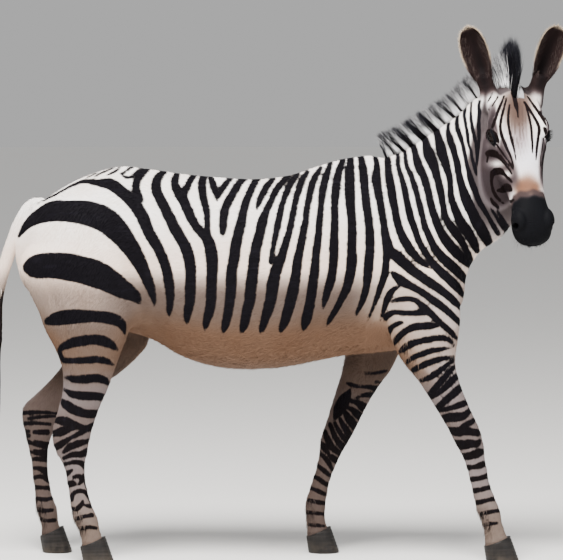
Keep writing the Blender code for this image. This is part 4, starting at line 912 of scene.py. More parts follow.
# Colours of the coat, linear.
WHITE = (0.93, 0.90, 0.88)
CREAM = (0.86, 0.72, 0.63)
# Tan of the lower flank: the hair's own tint, darkened as painted shade low on the barrel.
TAN_SHADE = (0.108, 0.080, 0.068)
# Brown under the belly: the hair's own tone, darkened as painted shade where the skin faces down.
BELLY_SHADE = (0.15, 0.085, 0.053)
SHADED_TAN = (0.060, 0.040, 0.031)
SHADED = (0.52, 0.47, 0.48)
# Grey of the legs: the hair's own grey, darkened as painted shade.
LEG_GREY_SHADE = (0.175, 0.148, 0.152)
DUSTY = (0.150, 0.112, 0.092)
BLACK = (0.0034, 0.0028, 0.0042)
BROWN_BLACK = (0.0060, 0.0036, 0.0032)
BROW_RUST = (0.074, 0.047, 0.038)
BROW_LILAC = (0.200, 0.160, 0.178)
NOSE_PALE = (0.80, 0.80, 0.90)
NOSE_RUST = (0.150, 0.070, 0.042)
NOSE_SMOKE = (0.042, 0.029, 0.029)
# Grey-brown of cheek and jaw, darkened as painted shade.
JAW_GREY_SHADE = (0.031, 0.023, 0.0255)
FACE_DARK = (0.0060, 0.0028, 0.0026)
MUZZLE = (0.0032, 0.0034, 0.0046)
EAR_INSIDE = (0.016, 0.0095, 0.0095)
EAR_SHADE = (0.0040, 0.0028, 0.0032)
EAR_RIM = (0.44, 0.36, 0.27)
NECK_SHADE = (0.048, 0.039, 0.041)
LEG_SHADE = (0.082, 0.060, 0.053)
BROW_LINE = (0.055, 0.036, 0.032)


def smoothstep(low, high, value):
    t = np.clip((value - low) / (high - low), 0.0, 1.0)
    return t * t * (3 - 2 * t)


def read(mesh):
    """The mesh's points and normals, as rows."""
    mesh.update()
    points = np.empty(len(mesh.vertices) * 3, np.float32)
    normals = np.empty(len(mesh.vertices) * 3, np.float32)
    mesh.vertices.foreach_get("co", points)
    mesh.vertex_normals.foreach_get("vector", normals)
    return points.reshape(-1, 3).astype(float), normals.reshape(-1, 3).astype(float)


def write(mesh, points):
    mesh.vertices.foreach_set("co", points.astype(np.float32).ravel())
    mesh.update()


# How far a point moves towards its neighbours' middle, and back again, in a round of smoothing.
SHRINK, SWELL = 0.55, -0.57


def relax(mesh, rounds, share=None):
    """Smooths the seams between forms, each round swelling back what it shrinks."""
    points = read(mesh)[0]
    ends = np.empty(len(mesh.edges) * 2, np.int32)
    mesh.edges.foreach_get("vertices", ends)
    a, b = ends.reshape(-1, 2).T
    count = np.bincount(a, minlength=len(points)) + np.bincount(b, minlength=len(points))
    weight = 1.0 if share is None else share[:, None]
    for _ in range(rounds):
        for pull in (SHRINK, SWELL):
            total = np.empty_like(points)
            for axis in range(3):
                total[:, axis] = np.bincount(a, points[b, axis], len(points))
                total[:, axis] += np.bincount(b, points[a, axis], len(points))
            points += weight * pull * (total / count[:, None] - points)
    write(mesh, points)


def into(matrix, points):
    """The points in the frame of a matrix."""
    back = np.array(matrix.inverted())
    return points @ back[:3, :3].T + back[:3, 3]


def out_of(matrix, points):
    there = np.array(matrix)
    return points @ there[:3, :3].T + there[:3, 3]


# The plane between neck and head, which gives the share of the head in a point.
NECK_PLANE = Vector((0.690, -0.030, 1.300))
NECK_ACROSS = Vector((0.529, -0.823, 0.108)).normalized()


def head_share(points):
    ahead = (points - np.array(NECK_PLANE)) @ np.array(NECK_ACROSS)
    high = smoothstep(0.98, 1.04, points[:, 2]) * smoothstep(0.50, 0.56, points[:, 0])
    return smoothstep(-0.030, 0.030, ahead) * high


def refine(mesh, wanted):
    """Splits the faces whose middles are wanted."""
    bm = bmesh.new()
    bm.from_mesh(mesh)
    middles = np.array([face.calc_center_median() for face in bm.faces])
    chosen = wanted(middles)
    edges = {edge for face, keep in zip(bm.faces, chosen) if keep for edge in face.edges}
    bmesh.ops.subdivide_edges(bm, edges=list(edges), cuts=1, use_grid_fill=True)
    bmesh.ops.triangulate(bm, faces=[face for face in bm.faces if len(face.verts) > 4])
    bm.to_mesh(mesh)
    bm.free()


def near_openings(middles):
    """True by the eyes, the nostrils and the mouth."""
    local = into(head_frame(), middles)
    sides = np.abs(local[:, 1])
    eye = np.linalg.norm(np.stack([local[:, 0], sides, local[:, 2]], 1) - np.array(EYE_PLACE), axis=1) < 0.050
    muzzle = (local[:, 0] > 0.415) & (head_share(middles) > 0.9)
    return eye | muzzle


def head_form():
    """The head's own surface on a fine grid, with a length of neck."""
    bm = bmesh.new()
    add_head_forms(bm)
    add_tube(bm, neck_rings(through(NECK, 40)[12:], 48))
    bmesh.ops.recalc_face_normals(bm, faces=bm.faces)
    head = fused(finish_mesh(bm, "head"), HEAD_GRID)
    relax(head, 24)
    return head


def muscles(points, normals):
    """How far the skin swells over muscle and bone, and sinks between them."""
    rise = np.zeros(len(points))
    for sides, width, height, path in RELIEF:
        inside = points[:, 1] * sides > 0.0 if sides else np.ones(len(points), bool)
        rows = np.array(path, float)
        away = np.full(len(points), 9.0)
        flat = points[:, [0, 2]]
        for a, b in zip(rows[:-1], rows[1:]):
            line = b - a
            t = np.clip(((flat - a) @ line) / (line @ line), 0.0, 1.0)
            away = np.minimum(away, np.linalg.norm(flat - a - t[:, None] * line, axis=1))
        side_on = smoothstep(0.25, 0.7, np.abs(normals[:, 1]))
        rise += inside * side_on * height * np.exp(-((away / width) ** 2))
    return rise


def folds(points):
    """How far the face's skin rises and sinks at the folds of the lids and the creases of muzzle and chin."""
    rise = np.zeros(len(points))
    for side in (1, -1):
        eye = into(eye_frame(side), points)
        out = np.hypot(eye[:, 0] / (OPENING_LENGTH / 2), eye[:, 2] / (OPENING_HEIGHT / 2))
        near = (np.linalg.norm(eye, axis=1) < 0.060) * (out > 1.05)
        upper = smoothstep(-0.003, 0.006, eye[:, 2])
        above = 0.0013 * np.exp(-(((out - 1.24) / 0.14) ** 2)) - 0.0022 * np.exp(-(((out - 1.62) / 0.13) ** 2))
        above += 0.0016 * np.exp(-(((out - 2.05) / 0.25) ** 2))
        below = 0.0008 * np.exp(-(((out - 1.22) / 0.12) ** 2)) - 0.0013 * np.exp(-(((out - 1.55) / 0.12) ** 2))
        below -= 0.0008 * np.exp(-(((out - 1.95) / 0.10) ** 2))
        rise += near * (above * upper + below * (1 - upper))
    local = into(head_frame(), points)
    muzzle = smoothstep(0.400, 0.440, local[:, 0])
    ring = np.hypot(local[:, 0] - 0.482, (local[:, 2] + 0.058) * 1.2)
    rise += muzzle * 0.0006 * np.sin(ring * 1150) * np.exp(-(((ring - 0.034) / 0.012) ** 2))
    chin = smoothstep(-0.085, -0.105, local[:, 2])
    return rise + muzzle * 0.0004 * np.sin(local[:, 0] * 900 + 3 * np.sin(local[:, 2] * 60)) * chin


# Relief of the body, seen from the side: which side or 0 for both, width, height, and its path.
RELIEF = (
    (0, 0.016, -0.0045, ((0.395, 1.190), (0.430, 1.080), (0.470, 0.960))),
    (0, 0.022, 0.0035, ((0.330, 1.160), (0.385, 1.020), (0.450, 0.930))),
    (0, 0.018, -0.0045, ((0.235, 1.030), (0.262, 0.900), (0.300, 0.800))),
    (0, 0.015, -0.0035, ((0.300, 0.860), (0.375, 0.800), (0.430, 0.780))),
    (0, 0.020, -0.0050, ((-0.410, 0.760), (-0.395, 0.860), (-0.420, 0.960))),
    (0, 0.026, 0.0030, ((-0.480, 0.980), (-0.470, 0.880), (-0.490, 0.790))),
    (0, 0.014, -0.0030, ((-0.740, 0.900), (-0.700, 0.780), (-0.665, 0.660))),
    (-1, 0.009, -0.0035, ((-0.655, 0.600), (-0.672, 0.520), (-0.690, 0.470))),
    (-1, 0.007, -0.0030, ((-0.668, 0.370), (-0.662, 0.290), (-0.650, 0.200))),
    (1, 0.009, -0.0035, ((-0.700, 0.585), (-0.765, 0.520), (-0.800, 0.480))),
    (1, 0.007, -0.0030, ((-0.800, 0.360), (-0.792, 0.280), (-0.782, 0.190))),
    (-1, 0.010, -0.0030, ((0.470, 0.640), (0.515, 0.540), (0.550, 0.470))),
    (-1, 0.006, -0.0030, ((0.602, 0.370), (0.620, 0.290), (0.640, 0.210))),
    (1, 0.010, -0.0030, ((0.285, 0.640), (0.245, 0.540), (0.215, 0.470))),
    (1, 0.006, -0.0030, ((0.160, 0.350), (0.142, 0.280), (0.118, 0.200))),
    (0, 0.010, -0.0022, ((0.130, 1.080), (0.110, 0.960), (0.120, 0.860))),
    (0, 0.010, -0.0018, ((0.060, 1.080), (0.035, 0.950), (0.050, 0.830))),
    (0, 0.010, -0.0018, ((-0.010, 1.070), (-0.040, 0.940), (-0.025, 0.810))),
    (0, 0.010, -0.0015, ((-0.085, 1.060), (-0.115, 0.930), (-0.105, 0.800))),
)


# The fine ear, rounder at its tip than the solid's.
ROUND_EAR = EAR[:7] + (
    (0.79, 0.0400, 0.0240, 1.0),
    (0.89, 0.0325, 0.0170, 1.0),
    (0.955, 0.0225, 0.0110, 1.0),
    (0.99, 0.0120, 0.0060, 1.0),
    (1.00, 0.0050, 0.0030, 0.8),
)


def ear_loft(side):
    """A cupped ear with a thin wall, whose foot is sunk in the skull."""
    ear, rings, around = ear_frame(side), [], 32
    stations = through(ROUND_EAR, 34)
    for n, (along, half_width, depth, opened) in enumerate(stations):
        wall = min(EAR_WALL, half_width * 0.35)
        ring = []
        for a in angles(around):
            x, y = half_width * math.cos(a), depth * math.sin(a)
            if math.sin(a) < -1e-9:
                cup = (half_width - wall) * math.cos(a)
                hollow = (depth - wall) * math.sqrt(max(0.0, 1 - math.cos(a) ** 2)) - 0.004
                x, y = (1 - opened) * x + opened * cup, (1 - opened) * y + opened * hollow
            y -= 0.016 * opened * (abs(x) / max(half_width, 1e-4)) ** 2
            height = EAR_ROOT_HEIGHT + along * EAR_LENGTH
            ring.append(ear @ Vector((x, y + 0.016 * along * along, height)))
        if n == 0:
            rings.append([ear @ (ear.inverted() @ p - Vector((0, 0, 0.020))) for p in ring])
        rings.append(ring)
    return tube_mesh("ear", rings, split=True)


def build_skin():
    bm = bmesh.new()
    add_body_forms(bm)
    add_head_forms(bm)
    bmesh.ops.recalc_face_normals(bm, faces=bm.faces)
    skin = fused(finish_mesh(bm, "skin"), BODY_GRID)
    relax(skin, 48)
    refine(skin, lambda at: (head_share(at) > 0.3) | (at[:, 2] < 0.50))
    refine(skin, near_openings)
    points = read(skin)[0]
    relax(skin, 10, np.maximum(head_share(points), smoothstep(0.54, 0.46, points[:, 2])))
    points = read(skin)[0]
    share = head_share(points)
    form = head_form()
    tree = BVHTree.FromPolygons([v.co for v in form.vertices], [p.vertices for p in form.polygons])
    for k in np.nonzero(share > 0.0)[0]:
        spot = tree.find_nearest(Vector(points[k]))[0]
        points[k] += (np.array(spot) - points[k]) * share[k]
    write(skin, points)
    relax(skin, 4, share)
    points, normals = read(skin)
    face = head_share(points)
    points += normals * (muscles(points, normals) * (1 - face) + folds(points) * face)[:, None]
    points -= normals * (COAT_DEPTH * (1 - 0.6 * face))[:, None]
    write(skin, points)
    for side in (1, -1):
        skin = combined(skin, nostril_mesh(side), "DIFFERENCE")
        skin = combined(skin, lid_opening(side), "DIFFERENCE")
    skin = combined(skin, mouth_mesh(), "DIFFERENCE")
    for side in ("left", "right"):
        skin = combined(skin, ear_loft(side), "UNION")
    dock = tube_mesh("dock", round_rings(through(DOCK, 50), 24), split=True)
    skin = combined(skin, dock, "UNION")
    bm = bmesh.new()
    bm.from_mesh(skin)
    bmesh.ops.triangulate(bm, faces=bm.faces)
    bm.to_mesh(skin)
    bm.free()
    return skin


# The camera's place in the model's own frame, which is also the view that the stripes were drawn in.
VIEW_TARGET = np.array((-0.0016, 0.0, 0.8942))
VIEW_DROP = math.radians(3.3)
VIEW_DISTANCE = 12.0
# The drawing's width in its units.
DRAWING_WIDTH = 563


def seen(points):
    """Where the drawing shows each point, in drawing units across and down."""
    ahead = np.array((0.0, math.cos(VIEW_DROP), -math.sin(VIEW_DROP)))
    up = np.array((0.0, math.sin(VIEW_DROP), math.cos(VIEW_DROP)))
    place = points - VIEW_TARGET
    scale = UNITS * VIEW_DISTANCE / (VIEW_DISTANCE + place @ ahead)
    return np.stack([DRAWING_WIDTH / 2 + scale * place[:, 0], 280.0 - scale * (place @ up)], 1)


# The distance from which a point counts as far from every stripe, and the value well inside one.
FAR, DEEP = 12.0, -9.0


def from_stripes(places, stripes):
    """Signed distance in drawing units to the edge of the nearest stripe, below 0 inside one."""
    best = np.full(len(places), FAR)
    for stripe in stripes:
        rows = through([(x, y, 0.0, w) for x, y, w in stripe], max(3, 4 * len(stripe)))[:, [0, 1, 3]]
        pad = FAR + rows[:, 2].max() / 2
        low, high = rows[:, :2].min(0) - pad, rows[:, :2].max(0) + pad
        near = np.nonzero(((places > low) & (places < high)).all(1))[0]
        if not len(near):
            continue
        at, value = places[near], np.full(len(near), FAR)
        for a, b in zip(rows[:-1], rows[1:]):
            line = b[:2] - a[:2]
            t = np.clip(((at - a[:2]) @ line) / max(line @ line, 1e-9), 0.0, 1.0)
            away = np.linalg.norm(at - a[:2] - t[:, None] * line, axis=1)
            value = np.minimum(value, away - (a[2] + (b[2] - a[2]) * t) / 2)
        best[near] = np.minimum(best[near], value)
    return best


def leg_breadth(leg, z):
    """The middle of a leg from back to front and half its breadth, at each height."""
    rows = np.array(LEGS[leg])[::-1]
    back, front = (np.interp(z, rows[:, 0], rows[:, n]) for n in (1, 2))
    return (front + back) / 2, (front - back) / 2


def across_leg(points, here, there):
    """X on one leg, at the same share of its breadth as on the other."""
    middle, half = leg_breadth(here, points[:, 2])
    new, wide = leg_breadth(there, points[:, 2])
    return new + (points[:, 0] - middle) / half * wide


def on_other_leg(points, here, there):
    """The points moved from the legs of one side to where the other side's stand."""
    moved = points.copy()
    x, z = points[:, 0], points[:, 2]
    hind = (1 - smoothstep(-0.42, -0.30, x)) * (1 - smoothstep(0.62, 0.80, z))
    fore = smoothstep(0.06, 0.18, x) * (1 - smoothstep(0.68, 0.90, z))
    moved[:, 0] += hind * (across_leg(points, "hindleg_" + here, "hindleg_" + there) - x)
    moved[:, 0] += fore * (across_leg(points, "foreleg_" + here, "foreleg_" + there) - x)
    return moved


def facing_in(points, normals):
    """How much the skin faces the animal's middle plane."""
    return -normals[:, 1] * np.sign(points[:, 1])


def body_stripes(points, normals):
    """The stripes of trunk, neck, legs and tail."""
    left = points[:, 1] > 0
    place = points.copy()
    place[left] = on_other_leg(points[left], "left", "right")
    place[:, 1] = -np.abs(place[:, 1])
    drawn = seen(place)
    far = smoothstep(0.15, 0.75, normals[:, 1]) * left * (0.2 + 0.8 * smoothstep(0.45, 0.75, points[:, 2]))
    u, v = drawn.T.copy()
    drawn[:, 0] += far * (6 * np.sin(v / 31 + 0.6) + 3.5 * np.sin(u / 21))
    drawn[:, 1] += far * (5 * np.sin(u / 27 + 1.0) + 2 * np.sin(v / 13))
    outer = from_stripes(drawn, FLANK_STRIPES)
    # The side of the neck that the head hides in the photo.
    behind = np.nonzero((normals[:, 1] > -0.12) & (points[:, 0] > 0.52) & (points[:, 2] > 1.0))[0]
    fade = FAR * (1 - smoothstep(-0.12, 0.12, normals[behind, 1]))
    outer[behind] = np.minimum(outer[behind], from_stripes(drawn[behind], HIDDEN_NECK_STRIPES) + fade)
    inner_at = points.copy()
    inner_at[~left] = on_other_leg(points[~left], "right", "left")
    inner_at[:, 1] = np.abs(inner_at[:, 1])
    legs = (points[:, 2] < 0.80) & (np.abs(points[:, 1]) < 0.26)
    inner = np.full(len(points), FAR)
    inner[legs] = from_stripes(seen(inner_at[legs]), INNER_STRIPES)
    inward = smoothstep(-0.25, 0.25, facing_in(points, normals)) * (1 - smoothstep(0.66, 0.80, points[:, 2]))
    inward = np.maximum(inward, smoothstep(0.36, 0.30, points[:, 2]) * left * (points[:, 0] > -0.2))
    value = outer + (inner - outer) * inward
    # The line along the back, and the plain belly.
    spine = np.abs(points[:, 1]) * UNITS - 1.3
    along = smoothstep(0.55, 0.85, normals[:, 2]) * (1 - smoothstep(0.20, 0.34, points[:, 0])) * (points[:, 2] > 1.0)
    value = np.where(along > 0, np.minimum(value, spine + 8 * (1 - along)), value)
    belly = smoothstep(-0.35, -0.75, normals[:, 2]) * (np.abs(points[:, 1]) < 0.24) * (points[:, 2] > 0.56)
    return value + 10 * belly * (points[:, 0] > -0.45) * (points[:, 0] < 0.36)


def face_stripes(points, normals):
    """The stripes of the head, whose hidden cheek carries those of the other."""
    frame = head_frame()
    local = into(frame, points)
    mirrored = out_of(frame, np.stack([local[:, 0], -local[:, 1], local[:, 2]], 1))
    aside = normals @ column(frame, 1)
    turn = smoothstep(0.35, 0.75, aside) * (local[:, 1] > 0)
    one, other = from_stripes(seen(points), FACE_STRIPES), from_stripes(seen(mirrored), FACE_STRIPES)
    return one + (other - one) * turn


def past_jaw(local):
    """How far points in the head's frame lie before the line from the poll along the jaw to the throat."""
    return local[:, 2] + 0.77 * local[:, 0] - 0.0112


def face_share(points):
    """1 on the face, 0 behind that line."""
    return smoothstep(-0.006, 0.006, past_jaw(into(head_frame(), points))) * (head_share(points) > 0.0)


def column(frame, number):
    """The frame's direction ahead, aside or up: 0, 1 or 2."""
    return np.array(frame.to_3x3().col[number])


def spot(places, middle, sizes):
    away = ((places - np.array(middle)) / np.array(sizes)) ** 2
    return np.exp(-away.sum(1))


def mixed(colours, other, share):
    """Colours blended by their depth of tone."""
    return colours ** (1 - share[:, None]) * np.array(other) ** share[:, None]


def stripe_values(points, normals):
    """Signed distance in drawing units to the edge of the nearest stripe of body or face."""
    head = face_share(points)
    body, face = body_stripes(points, normals) - 0.1, np.full(len(points), FAR)
    # The stripes widen on the legs, the shoulder, the upper neck and along the back.
    x, z = points[:, 0], points[:, 2]
    body -= 0.4 * smoothstep(0.86, 0.78, z)
    body -= 0.35 * smoothstep(0.24, 0.36, x) * smoothstep(1.12, 1.00, z) * smoothstep(0.78, 0.86, z)
    body -= 0.5 * smoothstep(1.20, 1.32, z) * smoothstep(0.30, 0.50, x)
    body -= 0.8 * smoothstep(1.12, 1.22, z) * smoothstep(0.40, 0.34, x) * smoothstep(-0.50, -0.44, x)
    on_head = head > 0
    face[on_head] = (face_stripes(points[on_head], normals[on_head]) - 0.35) * 1.6
    return body + (face - body) * head


def markings(points, normals):
    """Stripe value, light colour and dark colour of each point."""
    head, value = face_share(points), stripe_values(points, normals)
    drawn = seen(points)
    x, z = points[:, 0], points[:, 2]
    # Light hair: white along the back, cream and tan lower down, brown under the belly, greyer on the legs; the tan,
    # the brown and the grey are partly painted shade, darker lower down and where the skin faces down.
    light = np.tile(np.array(WHITE), (len(points), 1))
    light = mixed(light, CREAM, smoothstep(1.12, 0.94, z))
    less = 0.35 * smoothstep(-0.46, -0.60, x) * smoothstep(0.74, 0.84, z) + 0.60 * smoothstep(0.20, 0.34, x)
    # Tan lower down, partly painted shade.
    light = mixed(light, TAN_SHADE, smoothstep(0.95, 0.85, z) * (0.95 - less))
    front = smoothstep(0.34, 0.50, x) * smoothstep(0.95, 0.80, z)
    light = mixed(light, SHADED, front * 0.5)
    # The head's shade on the neck begins at this place across, at each height of the drawing.
    limit = np.interp(drawn[:, 1], (100, 130, 160, 190, 205, 225, 240), (484, 474, 467, 471, 473, 476, 478))
    shade = smoothstep(-1.5, 2.5, drawn[:, 0] - limit) * smoothstep(1.00, 1.12, z)
    light = mixed(light, NECK_SHADE, shade * smoothstep(0.12, -0.15, normals[:, 1]) * (1 - head) * 0.92)
    # Painted shade where the skin faces down under the belly.
    belly = smoothstep(0.02, -0.55, normals[:, 2]) * smoothstep(0.86, 0.72, z) * (z > 0.55)
    light = mixed(light, BELLY_SHADE, belly * 0.95)
    # The legs are greyer and darker: partly their own grey, partly painted shade.
    light = mixed(light, LEG_GREY_SHADE, smoothstep(0.68, 0.54, z) * 0.9)
    light = mixed(light, DUSTY, smoothstep(0.30, 0.10, z) * 0.9)
    inner = smoothstep(0.0, 0.6, facing_in(points, normals))
    knees = smoothstep(0.52, 0.46, z) * smoothstep(0.33, 0.40, z)
    light = mixed(light, LEG_SHADE, np.maximum(inner * smoothstep(0.66, 0.58, z) * 0.9, knees * 0.4))
    light = mixed(light, SHADED_TAN, inner * smoothstep(0.50, 0.62, z) * (z < 0.80) * 0.95)
    dark = np.tile(np.array(BLACK), (len(points), 1))
    dark = mixed(dark, BROWN_BLACK, smoothstep(0.62, 0.30, z) * 0.6)
    # The face: rusty brow, pale nose with a rust patch over it, grey jaw darkened with painted shade, and the black
    # muzzle.
    frame = head_frame()
    local = into(frame, points)
    aside = normals @ column(frame, 1)
    # Painted shade on the neck beside the face, on the animal's left side.
    near_face = smoothstep(-0.075, 0.0, past_jaw(local)) * smoothstep(0.0, 0.3, normals[:, 1])
    light = mixed(light, SHADED, near_face * (1 - head) * (z > 1.05) * 0.9)
    light = mixed(light, JAW_GREY_SHADE, near_face * (1 - head) * (z > 1.05) * 0.35)
    front = smoothstep(0.85, 0.35, np.abs(aside)) * head
    light = mixed(light, NOSE_PALE, smoothstep(0.15, 0.22, local[:, 0]) * front * 0.8)
    facing = smoothstep(1.0, 0.9, np.abs(aside)) * head
    light = mixed(light, BROW_LILAC, (1 - np.exp(-2.0 * spot(drawn, (519, 130), (8, 17)))) * facing * 0.75)
    brow = spot(drawn, (516, 104), (11, 12)) + 0.6 * spot(drawn, (518, 117), (9, 10))
    light = mixed(light, BROW_RUST, (1 - np.exp(-2.6 * brow)) * facing)
    # Fine lines between the eyes, which spread away from the middle of the brow.
    aside_of = drawn[:, 0] - 518
    thread = np.sin(2 * np.pi * (aside_of - 0.004 * (drawn[:, 1] - 118) ** 2 * np.sign(aside_of)) / 3.4)
    thread = smoothstep(-0.2, 0.9, thread) * (1 - np.exp(-2.2 * spot(drawn, (518, 122), (7, 20))))
    light = mixed(light, BROW_LINE, thread * facing * 0.7)
    rust = spot(drawn, (520.5, 187), (5, 6)) + spot(drawn, (528, 185.5), (7, 8)) + spot(drawn, (535, 188), (4, 5))
    rust = (1 - np.exp(-2.2 * rust)) * smoothstep(1.02, 0.94, np.abs(aside)) * head
    light = mixed(light, NOSE_RUST, rust * (local[:, 0] < 0.42))
    # Painted shade over the cheek and under the jaw, lighter at the pale spots.
    low_jaw = np.maximum(smoothstep(0.45, 0.85, np.abs(aside)), smoothstep(-0.07, -0.10, local[:, 2]))
    low_jaw *= smoothstep(0.02, 0.10, local[:, 0]) * smoothstep(0.37, 0.30, local[:, 0])
    pale = spot(drawn, (497, 163.5), (9, 4.5)) + spot(drawn, (507, 174), (6, 4)) + spot(drawn, (494, 145), (7, 4)) * 0.5
    throat = smoothstep(489.5, 486.5, drawn[:, 0]) * smoothstep(126, 131, drawn[:, 1]) * (local[:, 1] < 0)
    low_jaw = np.maximum(low_jaw, throat)
    light = mixed(light, JAW_GREY_SHADE, low_jaw * head * np.clip(0.97 - pale, 0, 1))
    wave = 0.003 * np.sin(local[:, 1] * 130 + 1) + 0.002 * np.sin(local[:, 2] * 210)
    smoke = smoothstep(0.358, 0.371, local[:, 0] + wave) * head * (0.97 - 0.3 * spot(drawn, (531, 194), (3, 4)))
    light = mixed(light, NOSE_SMOKE, smoke)
    muzzle = smoothstep(0.380, 0.396, local[:, 0] + wave) * head
    light = mixed(light, MUZZLE, muzzle)
    dark = mixed(dark, FACE_DARK, head * (1 - muzzle) * 0.8)
    dark = mixed(dark, MUZZLE, muzzle)
    # Bare dark skin round the eyes.
    for side in (1, -1):
        eye = into(eye_frame(side), points)
        slit = np.hypot(eye[:, 0] / (OPENING_LENGTH / 2 + 0.006), eye[:, 2] / (OPENING_HEIGHT / 2 + 0.006))
        bare = smoothstep(1.12, 0.96, slit) * (np.linalg.norm(eye, axis=1) < 0.045)
        light = mixed(light, MUZZLE, bare)
        dark = mixed(dark, MUZZLE, bare)
        muzzle = np.maximum(muzzle, bare)
    return value, light, dark, muzzle


def by_ear(side, points, normals, foot):
    """Points in an ear's frame, which of them are on it, and their height, share of its breadth and facing."""
    frame = ear_frame(side)
    local = into(frame, points)
    height = (local[:, 2] - EAR_ROOT_HEIGHT) / EAR_LENGTH
    near = (np.abs(local[:, 0]) < 0.06) & (np.abs(local[:, 1]) < 0.065) & (height > foot) & (height < 1.02)
    half = np.interp(height, [row[0] for row in ROUND_EAR], [row[1] for row in ROUND_EAR])
    rim = np.abs(local[:, 0]) / np.maximum(half, 1e-4)
    return local, near, height, rim, -(normals @ column(frame, 1))


def ear_marks(points, normals, value, light):
    """The ears: brown and hairy inside with a cream rim, banded behind."""
    for side in ("left", "right"):
        local, near, height, rim, facing = by_ear(side, points, normals, -0.30)
        ledge = (height > -0.05) * (height < 0.45) * (rim < 0.9) * (normals @ column(ear_frame(side), 2) > 0.25)
        cup = near * np.maximum(smoothstep(0.0, 0.35, facing), ledge) * smoothstep(-0.22, -0.02, height)
        edge = smoothstep(0.86, 0.97, rim) * smoothstep(0.22, 0.45, height) + smoothstep(0.93, 0.98, height)
        edge = np.clip(edge, 0, 1) * near
        light[:] = mixed(light, EAR_INSIDE, cup * (1 - edge))
        light[:] = mixed(light, EAR_SHADE, spot(local[:, [0, 2]], (0.0, 0.08), (0.014, 0.09)) * cup * 0.8)
        light[:] = mixed(light, EAR_RIM, edge * 0.9)
        value[:] = np.where(near & (cup > 0.02), np.maximum(value, FAR * smoothstep(-0.05, 0.05, height)), value)
        behind = near & (cup <= 0.02)
        band = np.minimum(np.abs(height - 0.70) - 0.17, np.abs(height - 0.10) - 0.09) * EAR_LENGTH * UNITS
        value[:] = np.where(behind & (height > -0.02), band + 3 * edge, value)


def shift(points):
    return points - np.array(MIDDLE)


def add_values(mesh, values):
    """Point attributes from rows of numbers: one number or a colour for each point."""
    for name, rows in values.items():
        rows = np.asarray(rows, np.float32)
        if rows.ndim == 1:
            mesh.attributes.new(name, "FLOAT", "POINT").data.foreach_set("value", rows)
        else:
            full = np.ones((len(rows), 4), np.float32)
            full[:, :3] = rows
            mesh.attributes.new(name, "FLOAT_COLOR", "POINT").data.foreach_set("color", full.ravel())


def piece(name, mesh, finish, nodes=()):
    mesh.name = name
    mesh.shade_smooth()
    mesh.materials.clear()
    mesh.materials.append(finish)
    thing = bpy.data.objects.new(name, mesh)
    bpy.context.scene.collection.objects.link(thing)
    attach(thing, "root")
    if nodes:
        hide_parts(*nodes)
    return thing


class Finish:
    """A material and short ways to wire its nodes."""

    def __init__(self, name):
        self.material = bpy.data.materials.new(name)
        self.material.use_nodes = True
        self.tree = self.material.node_tree
        self.shader = self.tree.nodes["Principled BSDF"]

    def add(self, kind, **values):
        made = self.tree.nodes.new(kind)
        for key, value in values.items():
            setattr(made, key, value)
        return made

    def link(self, source, target):
        self.tree.links.new(source, target)

    def attribute(self, name, output="Fac"):
        return self.add("ShaderNodeAttribute", attribute_name=name).outputs[output]

    def noise(self, scale, detail=2.0, stretch=(1, 1, 1), roughness=0.5):
        place = self.add("ShaderNodeTexCoord").outputs["Object"]
        mapping = self.add("ShaderNodeMapping")
        mapping.inputs["Scale"].default_value = stretch
        self.link(place, mapping.inputs["Vector"])
        made = self.add("ShaderNodeTexNoise")
        made.inputs["Scale"].default_value = scale
        made.inputs["Detail"].default_value = detail
        made.inputs["Roughness"].default_value = roughness
        self.link(mapping.outputs[0], made.inputs["Vector"])
        return made.outputs["Fac"]

    def math(self, operation, a, b=0.0, c=0.0):
        made = self.add("ShaderNodeMath", operation=operation)
        for socket, value in zip(made.inputs, (a, b, c)):
            if isinstance(value, (int, float)):
                socket.default_value = value
            else:
                self.link(value, socket)
        return made.outputs[0]

    def span(self, value, low, high, start=0.0, end=1.0):
        made = self.add("ShaderNodeMapRange", interpolation_type="SMOOTHSTEP")
        for key, number in zip(("From Min", "From Max", "To Min", "To Max"), (low, high, start, end)):
            made.inputs[key].default_value = number
        self.link(value, made.inputs["Value"])
        return made.outputs[0]

    def blend(self, share, a, b, mode="MIX"):
        made = self.add("ShaderNodeMix", data_type="RGBA", blend_type=mode)
        for socket, value in ((made.inputs[0], share), (made.inputs[6], a), (made.inputs[7], b)):
            if isinstance(value, (int, float)):
                socket.default_value = value
            elif isinstance(value, tuple):
                socket.default_value = (*value, 1.0)
            else:
                self.link(value, socket)
        return made.outputs[2]

    def bump(self, height, distance, strength=1.0, after=None):
        made = self.add("ShaderNodeBump")
        made.inputs["Strength"].default_value = strength
        made.inputs["Distance"].default_value = distance
        self.link(height, made.inputs["Height"])
        if after is not None:
            self.link(after, made.inputs["Normal"])
        return made.outputs[0]

    def set(self, **values):
        for name, value in values.items():
            socket = self.shader.inputs[name.replace("_", " ")]
            if isinstance(value, tuple):
                socket.default_value = (*value, 1.0)
            elif isinstance(value, (int, float)):
                socket.default_value = value
            else:
                self.link(value, socket)
        return self


